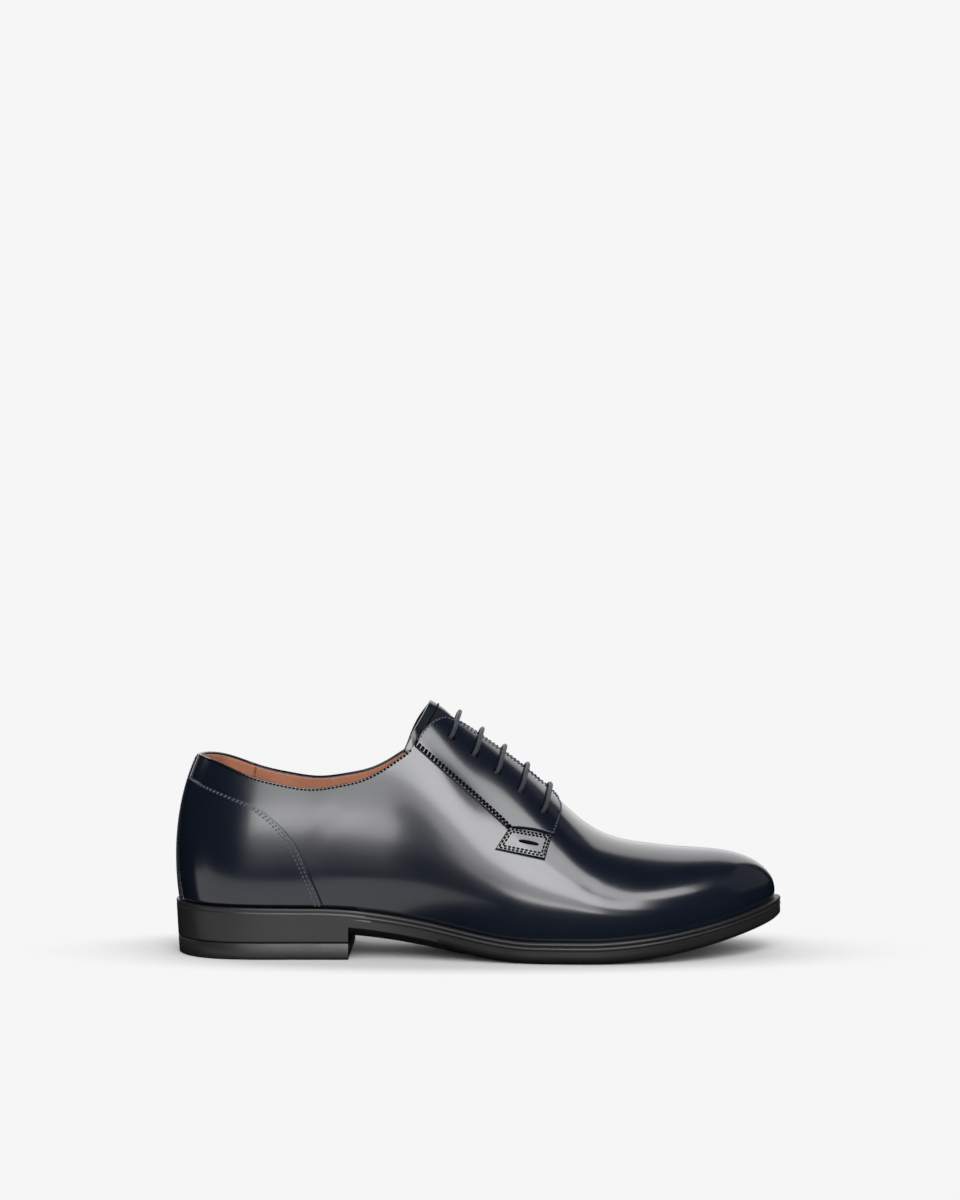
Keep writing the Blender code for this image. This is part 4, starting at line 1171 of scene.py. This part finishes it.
def tab_places(side, rows, columns):
    """The tab's grid of places, bilinear between its corners in the side view."""
    corner = {key: np.array(value) * [LENGTH, INSTEP_HEIGHT] for key, value in TAB.items()}
    u = packed_shares(rows, 0.5)[:, None, None]
    v = packed_shares(columns, 0.5)[None, :, None]
    upper_side = corner["rear_top"] * (1 - v) + corner["front_top"] * v
    lower_side = corner["rear_foot"] * (1 - v) + corner["front_foot"] * v
    view = upper_side * (1 - u) + lower_side * u
    distance = side_distance(side, view[..., 0], view[..., 1])
    return np.stack([view[..., 0], distance], axis=-1)


def arc_where(side, heights, values, axis):
    """Arc length at which the wall reaches a value of s (axis 0) or |y| (axis 1) at each height."""
    arcs = np.linspace(0, COUNTER_REACH, 520)
    reach = np.abs(wall_point(side, *np.meshgrid(arcs, heights))[..., axis])
    rows = np.maximum.accumulate(reach, axis=1)
    return np.array([np.interp(value, row, arcs) for value, row in zip(values, rows)])


def strip_half(height):
    """Half width of the back strip at a height, wider at its foot."""
    share = (height - HEEL_HEIGHT) / (BACK_HEIGHT - HEEL_HEIGHT)
    return STRIP_HALF_FOOT + (STRIP_HALF_TOP - STRIP_HALF_FOOT) * share


def counter_places(side, rows, columns):
    """The counter's grid of places (arc, height) between the back strip and the counter's edge."""
    table = np.array(COUNTER_EDGE) * [LENGTH, BACK_HEIGHT]
    edge = spline_through(np.arange(len(table)), table)(np.linspace(0, len(table) - 1, 200))[::-1]
    foot_edge = np.interp(edge[:, 0], edge[::-1, 0], rim_height(edge[::-1, 0])) + 2 * CLEARANCE
    edge = resampled(edge[edge[:, 1] > foot_edge], rows)[::-1]
    top = edge[0, 1]
    foot = HEEL_HEIGHT + 2 * CLEARANCE
    share = (edge[:, 1] - edge[-1, 1]) / (top - edge[-1, 1])
    back_z = foot + (top - foot) * share
    rear = np.column_stack([arc_where(side, back_z, strip_half(back_z), 1), back_z])
    front = np.column_stack([arc_where(side, edge[:, 1], edge[:, 0], 0), edge[:, 1]])
    front[:, 0] = np.maximum(front[:, 0], rear[:, 0] + 0.0004)
    v = packed_shares(columns, 0.7)[None, :, None]
    return rear[:, None] * (1 - v) + front[:, None] * v


def strip_grid(lift, rows=70, columns=25):
    """The back strip's grid: heights by places across the back seam, from the lateral to the medial
    side."""
    heights = HEEL_HEIGHT + 2 * CLEARANCE
    heights = heights + (BACK_HEIGHT - 0.0002 - heights) * packed_shares(rows, 0.5)
    halves = []
    for side in SIDES:
        reach = arc_where(side, heights, strip_half(heights), 1)
        share = (1 - packed_shares(2 * columns - 1, 0.6))[:columns] * 2 - 1
        arcs = reach[:, None] * share[None, :]
        tall = np.repeat(heights[:, None], columns, 1)
        edge = np.minimum((1 - share)[None, :] * reach[:, None], (heights[-1] - heights)[:, None])
        height = lift * (0.3 + 0.7 * quarter_round(edge, STRIP_ROLL)) if lift > CLEARANCE else lift
        halves.append(wall_at(side, arcs, tall, height)[0])
    return np.concatenate([halves[0], halves[1][:, -2::-1]], axis=1)


def tongue_depth(s, distance):
    """How far the tongue lies below the upper's face."""
    lace = smooth_step(s, 0.39 * LENGTH, 0.435 * LENGTH)
    tuck = smooth_step(s, THROAT_X - 0.005, THROAT_X)
    side = TONGUE_TUCK + (TONGUE_DEPTH - TONGUE_TUCK) * lace * (1 - tuck)
    swell = 1 - smooth_step(s, 0.43 * LENGTH, 0.53 * LENGTH)
    middle = CLEARANCE + (side - CLEARANCE) * (1 - swell)
    reach = np.clip(distance / np.maximum(throat_half(s), 1e-4), 0, 1)
    return side - (side - middle) * (1 - reach**2) ** 2


def tongue_point(u, v, deeper):
    """Point of the tongue at shares along (u) and across (v), deeper below its face by a length."""
    start = TONGUE_TOP - TONGUE_RAKE * np.abs(v) ** 2.5
    s = start + (TONGUE_END - start) * u
    found = np.empty((*u.shape, 3))
    normals = np.empty((*u.shape, 3))
    for side in SIDES:
        half = row_distance(side, s, TONGUE_SIDE_DROP)
        half = half + (TONGUE_END_HALF_WIDTH - half) * smooth_step(u, 0.0, 0.9)
        distance = np.maximum(np.abs(v) * half, 2e-4)
        point, normal = crown_at(side, s, distance)
        here = v < 0 if side == LATERAL else v >= 0
        found[here] = (point - normal * (tongue_depth(s, distance) + deeper)[..., None])[here]
        normals[here] = normal[here]
    return found, normals


def lace_bar(start_side, k):
    """Points of bar number k over the facings, from one side's eyelet to the other's."""
    s = FIRST_EYELET_X + k * EYELET_PITCH
    found = []
    for side, order in ((start_side, 1), (-start_side, -1)):
        row = float(row_distance(side, s, EYELET_DROP))
        places = [
            (row - 0.26 * EYELET_RADIUS, LACE_LIFT - 0.6 * LACE_RADIUS),
            (row - 1.00 * EYELET_RADIUS, LACE_LIFT + 0.4 * LACE_RADIUS),
            (0.60 * row, LACE_LIFT),
            (0.22 * row, LACE_LIFT),
        ]
        for distance, lift in places[::order]:
            at = s + BAR_LEAN * (1 - (distance / row) ** 2)
            found.append(crown_at(side, at, distance, lift)[0])
    return found


def beside(side, k, drop):
    """Point of the lace under the facing, aside of eyelet number k by its own drop."""
    centre, normal = eyelet_at(side, k, drop)
    return centre - normal * LACE_DEPTH


def dip(side, k, toward):
    """The two points where the lace turns under the facing below eyelet k, on its way to a point."""
    centre, normal = eyelet_at(side, k)
    way = toward - centre
    way = unit(way - normal * way.dot(normal))
    return [
        centre + way * 0.25 * EYELET_RADIUS - normal * (WALL + 0.5 * LACE_RADIUS),
        centre + way * 1.2 * EYELET_RADIUS - normal * LACE_DEPTH,
    ]


def lace_route():
    """Route of the lace: five bars in the order 1, 3, 5, 4, 2 with runs under the facings between. Both
    ends stop under the top eyelets."""
    order = (0, 2, 4, 3, 1)
    side = MEDIAL
    route = [beside(side, order[0], EYELET_DROP)]
    for step, k in enumerate(order):
        leave = -side
        if step:
            route += dip(side, k, eyelet_at(side, order[step - 1])[0])[::-1]
        route.append(eyelet_at(side, k)[0])
        route += lace_bar(side, k)
        route.append(eyelet_at(leave, k)[0])
        last = step + 1 == len(order)
        after = 0 if last else order[step + 1]
        route += dip(leave, k, eyelet_at(leave, after)[0])
        if last:
            route.append(beside(leave, after, 0.78 * EYELET_DROP))
        elif abs(after - k) == 2:
            route.append(beside(leave, (k + after) / 2, (1.25 if after > k else 0.78) * EYELET_DROP))
        side = leave
    return np.array(route)


def tube(points, radius, around):
    """Points, faces and UV of a round tube along a path, its frame carried without twist, its ends
    closed by a small cone. U goes round it and V runs along it, both in tube radii."""
    ahead = unit(np.gradient(points, axis=0))
    up = np.empty_like(points)
    up[0] = unit(np.cross(ahead[0], [1.0, 0.2, 0.1]))
    for i in range(1, len(points)):
        up[i] = unit(up[i - 1] - ahead[i] * up[i - 1].dot(ahead[i]))
    beside_it = np.cross(ahead, up)
    turn = np.linspace(0, 2 * math.pi, around + 1)
    girth = np.full(len(points), radius)
    girth[[0, -1]] = radius * 0.05
    ring = np.cos(turn)[None, :, None] * up[:, None] + np.sin(turn)[None, :, None] * beside_it[:, None]
    body = points[:, None] + ring * girth[:, None, None]
    uv = np.stack(np.broadcast_arrays(turn[None, :], lengths_along(points)[:, None] / radius), axis=-1)
    return body.reshape(-1, 3), grid_faces(len(points), around + 1), uv


def heel_taper(s_values):
    """How far the heel draws in for each unit of height, nothing at its breast."""
    return HEEL_TAPER * np.clip(1 - s_values / HEEL_LENGTH, 0, 1) / HEEL_HEIGHT


def edge_profile(side, s_values, arcs, heel):
    """The sole's side wall as a grid, a profile down the edge at each arc length: ribs, then the foot."""
    plan = PLAN[side]
    rim = rim_height(s_values)
    bottom = LIFT_HEIGHT + CLEARANCE if heel else sole_bottom(s_values)
    fore = smooth_step(s_values, HEEL_LENGTH, HEEL_LENGTH + 0.012)
    waist = waist_share(s_values)
    drops = []
    insets = []
    for depth, out, at_heel in RIBS:
        drops.append(np.full(len(arcs), depth * EDGE_THICKNESS))
        insets.append(-out / 1000 * (fore + (1 - fore) * at_heel))
    left = rim - bottom - drops[-1]
    last = insets[-1]
    for fore_depth, fore_in, waist_depth, waist_in, heel_depth, heel_in in EDGE_FOOT:
        depth = heel_depth if heel else fore_depth + (waist_depth - fore_depth) * waist
        inset = heel_in if heel else fore_in + (waist_in - fore_in) * waist
        drops.append(drops[len(RIBS) - 1] + depth * left)
        insets.append(last + inset * EDGE_THICKNESS)
    drop = np.stack(drops, axis=1)
    inset = np.stack(np.broadcast_arrays(*insets), axis=1) + heel_taper(s_values)[:, None] * drop
    point = plan.read("points", arcs)[:, None] - inset[..., None] * plan.read("normals", arcs)[:, None]
    return np.concatenate([point, (rim[:, None] - drop)[..., None]], axis=-1)


def across_grid(start, end, count):
    """Points between two lines, both left out."""
    shares = (np.arange(1, count + 1) / (count + 1))[None, :, None]
    return start[:, None] + (end - start)[:, None] * shares


def matched_arcs(lateral_arcs, share):
    """Arc lengths of both sides that lie across from each other: at the same s where the share is one,
    at the same arc length where it is nothing."""
    s_values = PLAN[LATERAL].read("points", lateral_arcs)[:, 0]
    medial_arcs = lateral_arcs * (1 - share) + PLAN[MEDIAL].arc_at(s_values) * share
    return {LATERAL: lateral_arcs, MEDIAL: medial_arcs}


def sole_arcs(first, last, count):
    """Places from one s to another, and the arc lengths of both sides there, both ends exact."""
    lead = PLAN[LATERAL]
    end = lead.arc[-1] if last >= LENGTH else lead.arc_at(last)
    lateral_arcs = np.linspace(lead.arc_at(first), end, count)
    s_values = lead.read("points", lateral_arcs)[:, 0]
    return s_values, matched_arcs(lateral_arcs, smooth_step(s_values, 0.0, 0.02))


def ringed(lateral, medial, under_count):
    """Closed rings from the grids of both side walls: down the lateral one, under, up the medial one and
    back over the top."""
    medial = medial[:, ::-1]
    under = across_grid(lateral[:, -1], medial[:, 0], under_count)
    over = across_grid(medial[:, -1], lateral[:, 0], 3)
    return np.concatenate([lateral, under, medial, over], axis=1)


def sole_rings(first, last, count, heel):
    """Closed rings across the sole from one s to another."""
    s_values, arcs = sole_arcs(first, last, count)
    return ringed(*(edge_profile(side, s_values, arcs[side], heel) for side in SIDES), 7)


def lift_rings(count):
    """Closed rings across the wearing layer of the heel, its upper and lower edges broken a little."""
    s_values, arcs = sole_arcs(0.0, HEEL_LENGTH, count)
    levels = np.array(LIFT_LEVELS)
    inset = levels[:, 0] + heel_taper(s_values)[:, None] * (HEEL_HEIGHT - levels[:, 1])
    walls = []
    for side, at in arcs.items():
        start = PLAN[side].read("points", at)[:, None]
        plan_point = start - inset[..., None] * PLAN[side].read("normals", at)[:, None]
        height = np.broadcast_to(levels[:, 1], inset.shape)
        walls.append(np.concatenate([plan_point, height[..., None]], axis=-1))
    return ringed(*walls, 3)


def colour_choice(name, description, default):
    """A colour that the user can set."""
    return FloatVectorProperty(name=name, description=description, subtype="COLOR", default=default)


def length_choice(name, description, default):
    """A length that the user can set."""
    return FloatProperty(name=name, description=description, unit="LENGTH", default=default)


class DerbyFinish(bpy.types.PropertyGroup):
    """Colours and gloss of the shoe's materials."""

    leather_colour: colour_choice("Leather", "Dye of the upper", (0.0034, 0.0056, 0.0112))
    leather_roughness: FloatProperty(name="Leather roughness", subtype="FACTOR", default=0.21, min=0, max=1)
    lining_colour: colour_choice("Lining", "Colour of the lining and sock", (0.38, 0.160, 0.094))
    rubber_colour: colour_choice("Sole", "Colour of the moulded sole", (0.010, 0.010, 0.011))
    lace_colour: colour_choice("Lace", "Colour of the waxed lace", (0.028, 0.033, 0.045))
    thread_colour: colour_choice("Thread", "Colour of the fine stitches", (0.055, 0.063, 0.095))


class DerbySizes(bpy.types.PropertyGroup):
    """Sizes of the sewing and of the studio."""

    stitch_pitch: length_choice("Stitch pitch", "Length of one stitch", STITCH_PITCH)
    thread_radius: length_choice("Thread radius", "Half the thread's thickness", THREAD_RADIUS)
    camera_distance: length_choice("Camera distance", "From the shoe's centre plane", 1.1)
    camera_height: length_choice("Camera height", "Over the floor", 0.1745)
    focal_length: FloatProperty(name="Focal length", description="In millimetres", default=66.0)


class DERBY_OT_upper(bpy.types.Operator):
    """Leather wall of vamp and quarters with its lining, both punched for the lace"""

    bl_idname = "derby.upper"
    bl_label = "Upper and lining"

    def execute(self, context):
        leather = {"offset": 0.0, "thickness": LEATHER, "lowered": 0.0, "columns": 340, "rows": 64}
        upper_wall("upper_leather", "leather_navy", "leather", ["upper"], **leather)
        lining = {"offset": LEATHER + HAIR_GAP, "thickness": LINING_WALL, "lowered": LINING_DROP}
        upper_wall("upper_lining", "lining_tan", "lining", [], **lining, columns=180, rows=36)
        return {"FINISHED"}


class DERBY_OT_facings(bpy.types.Operator):
    """Facings with their punched row, and the stitched tabs at their feet"""

    bl_idname = "derby.facings"
    bl_label = "Facings and tabs"

    def execute(self, context):
        leather = material_of("leather_navy")
        for side, name in SIDES.items():
            places = resample_grid(coons(*facing_borders(side, 220, 80)), 150, 56)
            sheet = rolled_sheet(side, places, crown_at, FACING_RISE, FACING_ROLL)
            punch(new_piece("facing_" + name, *sheet, leather, "leather", ["eyestay_" + name], sharp=60))
            sheet = rolled_sheet(side, tab_places(side, 40, 60), crown_at, TAB_RISE, PATCH_ROLL)
            new_piece("tab_" + name, *sheet, leather, "leather", sharp=60)
        return {"FINISHED"}


class DERBY_OT_heel_panels(bpy.types.Operator):
    """Counter panels and the strip over the back seam"""

    bl_idname = "derby.heel_panels"
    bl_label = "Counters and back strip"

    def execute(self, context):
        leather = material_of("leather_navy")
        for side, name in SIDES.items():
            sheet = rolled_sheet(side, counter_places(side, 110, 90), wall_at, COUNTER_RISE, PATCH_ROLL)
            new_piece("heel_" + name, *sheet, leather, "leather", ["counter_" + name], sharp=60)
        sheet = closed_sheet(strip_grid(FACING_RISE), strip_grid(UNDER_RISE))
        new_piece("strip_leather", *sheet, leather, "leather", ["back_strip"], sharp=60)
        return {"FINISHED"}


class DERBY_OT_tongue(bpy.types.Operator):
    """Tongue: a leather face over a tan lining, from its free end to its seam under the vamp"""

    bl_idname = "derby.tongue"
    bl_label = "Tongue"

    def execute(self, context):
        u, v = np.meshgrid(packed_shares(110, 0.5), packed_shares(81, 0.4) * 2 - 1, indexing="ij")
        roll = edge_roll(*u.shape, *TONGUE_SPAN, TONGUE_ROLL)
        outer, _ = tongue_point(u, v, TONGUE_ROLL_DEPTH * (1 - roll))
        middle, _ = tongue_point(u, v, np.full(u.shape, 0.85 * TONGUE_THICKNESS))
        sheet = closed_sheet(outer, middle)
        new_piece("tongue_leather", *sheet, material_of("leather_navy"), "leather", ["tongue"], sharp=60)
        u, v = 0.05 + 0.95 * u, 0.93 * v
        middle, _ = tongue_point(u, v, np.full(u.shape, 0.86 * TONGUE_THICKNESS))
        inner, _ = tongue_point(u, v, np.full(u.shape, TONGUE_THICKNESS))
        sheet = closed_sheet(middle, inner)
        new_piece("tongue_lining", *sheet, material_of("lining_tan"), "lining", sharp=60)
        return {"FINISHED"}


class DERBY_OT_lace(bpy.types.Operator):
    """Round waxed lace through the ten holes, its ends hidden under the top eyelets"""

    bl_idname = "derby.lace"
    bl_label = "Lace"

    def execute(self, context):
        route = lace_route()
        gaps = np.linalg.norm(np.diff(route, axis=0), axis=1)
        knots = np.concatenate([[0], np.cumsum(gaps**0.5)])
        path = spline_through(knots, route)(np.linspace(0, knots[-1], 900))
        points, faces, uv = tube(resampled(path, 820), LACE_RADIUS, 16)
        new_piece("lace_cord_run", points, faces, material_of("lace_cord"), "cord", ["lace"], uv, weld=1e-7)
        return {"FINISHED"}


class DERBY_OT_stitches(bpy.types.Operator):
    """All rows of stitches, grouped by thread"""

    bl_idname = "derby.stitches"
    bl_label = "Stitches"

    def execute(self, context):
        sizes = context.scene.derby_sizes
        threads = {}
        for key, pitch, radius, fill in THREADS:
            pitch *= sizes.stitch_pitch
            threads[key] = {"pitch": pitch, "radius": radius * sizes.thread_radius, "fill": fill}
        groups = {"fine": [], "seam": [], "lining": []}

        def sew(group, line, thread):
            """Adds a row of stitches along a line to a group."""
            groups[group].append(stitch_row(*line, **threads[thread]))

        for side in SIDES:
            plan = PLAN[side]
            first = arc_where(side, np.array([COLLAR_ROW_START]), [STRIP_HALF_TOP + 0.001], 1)[0]
            last = plan.arc_at(COLLAR_ROW_END * LENGTH, "contour")
            sew("seam", collar_line(side, first, last, 300, COLLAR_INSET), "corded")
            places = coons(*facing_borders(side, 220, 80))
            for border in ("front", "top"):
                sew("fine", inset_line(places, crown_at, side, FACING_RISE, FACING_INSET, border), "bold")
            for inset in SEAM_INSETS:
                sew("seam", inset_line(places, crown_at, side, FACING_RISE, inset, "rear"), "rope")
            tab = tab_places(side, 60, 90)
            for inset in TAB_INSETS:
                for border in ("rear", "front", "top", "foot"):
                    points, normals = inset_line(tab, crown_at, side, TAB_RISE, inset, border)
                    along = lengths_along(points)
                    keep = (along > inset) & (along < along[-1] - inset)
                    sew("seam", (points[keep], normals[keep]), "corded")
            counter = counter_places(side, 160, 120)
            for inset in COUNTER_INSETS:
                sew("fine", inset_line(counter, wall_at, side, COUNTER_RISE, inset, "front"), "bold")
            heights = np.linspace(HEEL_HEIGHT + 0.002, BACK_HEIGHT - 0.0018, 160)
            reach = arc_where(side, heights, strip_half(heights) - STRIP_INSET, 1)
            sew("fine", wall_at(side, reach, heights, FACING_RISE), "fine")
            at = float(plan.arc_at(LINING_SEAM, "contour"))
            heights = np.linspace(HEEL_HEIGHT + 0.012, float(collar_height(side, LINING_SEAM)) - 0.0022, 60)
            points, normals = wall_at(side, at, heights, -LEATHER - LINING_WALL - HAIR_GAP)
            groups["lining"].append(stitch_row(points, -normals, pitch=0.0035, radius=0.00055, fill=1.0))
        v = np.linspace(-0.97, 0.97, 240)
        sew("seam", tongue_point(np.full(v.shape, 0.055), v, np.zeros(v.shape)), "corded")
        colours = {"fine": "thread_navy", "seam": "thread_dark", "lining": "thread_tan"}
        for group, rows in groups.items():
            material = material_of(colours[group])
            new_piece("stitches_" + group, *join_rows(rows), material, "cord", weld=1e-8)
        return {"FINISHED"}


class DERBY_OT_tab_bars(bpy.types.Operator):
    """The dark sewn bar in the middle of each tab"""

    bl_idname = "derby.tab_bars"
    bl_label = "Bars of the tabs"

    def execute(self, context):
        rows = []
        for side in SIDES:
            middle = tab_places(side, 5, 5)[2]
            ends = middle[1:2] * 0.75 + middle[3:4] * 0.25, middle[1:2] * 0.05 + middle[3:4] * 0.95
            line = ends[0] + (ends[1] - ends[0]) * np.linspace(0, 1, 20)[:, None]
            bar = crown_at(side, line[:, 0], line[:, 1], TAB_RISE)
            rows.append(stitch_row(*bar, pitch=0.009, radius=0.0009, fill=1.0, sink=0.3))
        new_piece("tab_bar_threads", *join_rows(rows), material_of("thread_dark"), "cord", weld=1e-8)
        return {"FINISHED"}


class DERBY_OT_insole(bpy.types.Operator):
    """Insole with its tan sock, slightly dished, with soft edges"""

    bl_idname = "derby.insole"
    bl_label = "Insole"

    def execute(self, context):
        count = 160
        lateral_arcs = np.linspace(0, PLAN[LATERAL].arc[-1], count)
        arcs = matched_arcs(lateral_arcs, smooth_step(lateral_arcs, 0.0, 0.04))
        edges = {}
        for side, plan in PLAN.items():
            start = plan.read("points", arcs[side])
            inset = plan.ledge(start[:, 0]) + WALL + CLEARANCE + INSOLE_SLACK
            edges[side] = start - inset[:, None] * plan.read("normals", arcs[side])
        shares = packed_shares(41, 0.6)[None, :, None]
        plan_grid = edges[LATERAL][:, None] * (1 - shares) + edges[MEDIAL][:, None] * shares
        base = rim_height(plan_grid[..., 0].mean(axis=1, keepdims=True)) + CLEARANCE
        base = np.broadcast_to(base, plan_grid.shape[:2])
        roll = edge_roll(*base.shape, *SOCK_SPAN, SOCK_ROLL)
        high = base + INSOLE_THICKNESS - SOCK_ROLL_DEPTH * (1 - roll)
        high = high - SOCK_DISH * np.sin(np.pi * shares[..., 0])
        top = np.concatenate([plan_grid, high[..., None]], axis=-1)
        foot = np.concatenate([plan_grid, base[..., None]], axis=-1)
        points, faces = closed_sheet(top, foot)
        new_piece("insole_sock", points, faces, material_of("lining_tan"), "lining", ["insole"], sharp=60)
        return {"FINISHED"}


class DERBY_OT_sole(bpy.types.Operator):
    """Moulded sole with its bead and ribs, the heel block's breast and the wearing layer below it"""

    bl_idname = "derby.sole"
    bl_label = "Sole and heel"

    def execute(self, context):
        heel = sole_rings(0.0, HEEL_LENGTH, 90, True)
        rings = np.concatenate([heel, sole_rings(HEEL_LENGTH, LENGTH, 230, False)])
        self.rubber("sole_unit", rings, grid_faces(*rings.shape[:2], ring=True), "sole")
        rings = lift_rings(90)
        points = rings.shape[0] * rings.shape[1]
        faces = grid_faces(*rings.shape[:2], ring=True).tolist()
        faces.append(list(range(points - rings.shape[1], points)))
        self.rubber("heel_lift", rings, faces, "top_lift")
        return {"FINISHED"}

    @staticmethod
    def rubber(name, rings, faces, replaced):
        """A rubber piece whose faces that look down have the tread's material."""
        made = new_piece(name, rings, faces, material_of("rubber_edge"), "rubber", [replaced], sharp=50)
        made.data.materials.append(material_of("rubber_tread"))
        normals = np.empty(len(made.data.polygons) * 3)
        made.data.polygons.foreach_get("normal", normals)
        made.data.polygons.foreach_set("material_index", (normals[2::3] < -0.93).astype(np.int32))


class DERBY_OT_stage(bpy.types.Operator):
    """Pale floor, soft lights and the camera"""

    bl_idname = "derby.stage"
    bl_label = "Studio"

    def execute(self, context):
        sizes = context.scene.derby_sizes
        self.floor()
        self.world()
        self.card()
        for row in PANELS:
            self.panel(*row)
        camera = bpy.data.cameras.new("camera")
        camera.lens = sizes.focal_length
        camera.sensor_width = SENSOR_WIDTH
        camera.sensor_fit = "AUTO"
        made = linked("camera", camera)
        made.location = (CAMERA_X, -sizes.camera_distance, sizes.camera_height)
        made.rotation_euler = (math.pi / 2, 0.0, 0.0)
        context.scene.camera = made
        context.scene.view_settings.view_transform = "Standard"
        return {"FINISHED"}

    @staticmethod
    def floor():
        """A round paper bowl: flat floor, cove and wall, its profile turned about the shoe."""
        turn = np.linspace(0, math.pi / 2, 12)
        profile = [(0.0, 0.0), (1.0, 0.0), (3.0, 0.0)]
        profile += [(3.0 + math.sin(t), 1.0 - math.cos(t)) for t in turn[1:]]
        profile.append((4.0, 5.0))
        reach, height = np.array(profile).T[..., None]
        around = np.arange(64) * math.pi / 32
        points = np.broadcast_arrays(reach * np.cos(around), reach * np.sin(around), height - 0.0001)
        faces = grid_faces(len(profile), len(around), ring=True)
        mesh = mesh_of("studio_sweep", np.stack(points, axis=-1).reshape(-1, 3), faces)
        if mesh.polygons[0].normal.z < 0:
            mesh.flip_normals()
        mesh.shade_smooth()
        paper = base_material("studio_paper", (PAPER_SHADE,) * 3, 0.9, specular=0.0)
        place = add_node(paper, "ShaderNodeTexCoord")
        scaled = add_node(paper, "ShaderNodeVectorMath", operation="MULTIPLY")
        scaled.inputs[1].default_value = (1.0, FADE_ACROSS, 1.0)
        apart = add_node(paper, "ShaderNodeVectorMath", operation="LENGTH")
        link(paper, place, "Object", scaled, "Vector")
        link(paper, scaled, "Vector", apart, "Vector")
        glowing(paper, PAPER_GLOW)
        for socket, near, far in (("Base Color", PAPER_SHADE, 0.0), ("Emission Strength", 0.0, PAPER_GLOW)):
            fade = add_node(paper, "ShaderNodeMapRange", from_min=FADE_FROM, from_max=FADE_TO, to_min=near)
            fade.inputs["To Max"].default_value = far
            fade.interpolation_type = "SMOOTHSTEP"
            link(paper, apart, "Value", fade, "Value")
            link(paper, fade, "Result", shader_of(paper), socket)
        mesh.materials.append(paper)
        made = linked("studio_sweep", mesh)
        made.visible_glossy = False

    @staticmethod
    def card():
        """The lit floor beside the quarter as the leather mirrors it, seen in reflections alone."""
        mesh = bpy.data.meshes.new("studio_card")
        mesh.from_pydata([(x, y, CARD_HEIGHT) for x, y in CARD_CORNERS], [], [(0, 1, 2, 3)])
        glow = base_material("studio_card", (0.0, 0.0, 0.0), 1.0, specular=0.0)
        glowing(glow, CARD_GLOW)
        mesh.materials.append(glow)
        made = linked("studio_card", mesh)
        made.visible_camera = False
        made.visible_diffuse = False
        made.visible_shadow = False

    @staticmethod
    def world():
        """Even white surround for the paper, unseen in the leather's reflections."""
        made = bpy.data.worlds.new("studio")
        made.use_nodes = True
        back = made.node_tree.nodes["Background"]
        back.inputs["Color"].default_value = (1.0, 1.0, 1.0, 1.0)
        back.inputs["Strength"].default_value = WORLD_STRENGTH
        bpy.context.scene.world = made
        made.cycles_visibility.glossy = False

    @staticmethod
    def panel(name, place, target, size, power):
        """A rectangular soft light that faces a target."""
        lamp = bpy.data.lights.new(name, "AREA")
        lamp.shape = "RECTANGLE"
        lamp.size, lamp.size_y = size
        lamp.energy = power
        made = linked(name, lamp)
        made.location = place
        way = Vector(target) - Vector(place)
        made.rotation_euler = way.to_track_quat("-Z", "Y").to_euler()
        made.visible_camera = False


OPERATORS = (
    DERBY_OT_upper,
    DERBY_OT_facings,
    DERBY_OT_heel_panels,
    DERBY_OT_tongue,
    DERBY_OT_lace,
    DERBY_OT_stitches,
    DERBY_OT_tab_bars,
    DERBY_OT_insole,
    DERBY_OT_sole,
    DERBY_OT_stage,
)


class DERBY_PT_panel(bpy.types.Panel):
    """Sizes, colours and the pieces in the order in which they are built"""

    bl_idname = "DERBY_PT_panel"
    bl_label = "Derby shoe"
    bl_space_type = "VIEW_3D"
    bl_region_type = "UI"
    bl_category = "Shoe"

    def draw(self, context):
        for group in (context.scene.derby_sizes, context.scene.derby_finish):
            for name in group.bl_rna.properties.keys():
                if name not in ("rna_type", "name"):
                    self.layout.prop(group, name)
        for operator in OPERATORS:
            self.layout.operator(operator.bl_idname)


CLASSES = (DerbyFinish, DerbySizes, *OPERATORS, DERBY_PT_panel)


def register():
    """Adds the classes and their settings to Blender."""
    for item in CLASSES:
        bpy.utils.register_class(item)
    bpy.types.Scene.derby_finish = PointerProperty(type=DerbyFinish)
    bpy.types.Scene.derby_sizes = PointerProperty(type=DerbySizes)


def unregister():
    """Takes the classes and their settings out again."""
    del bpy.types.Scene.derby_sizes
    del bpy.types.Scene.derby_finish
    for item in reversed(CLASSES):
        bpy.utils.unregister_class(item)


def main():
    """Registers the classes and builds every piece."""
    register()
    for operator in OPERATORS:
        group, name = operator.bl_idname.split(".")
        getattr(getattr(bpy.ops, group), name)()


if __name__ == "__main__":
    main()
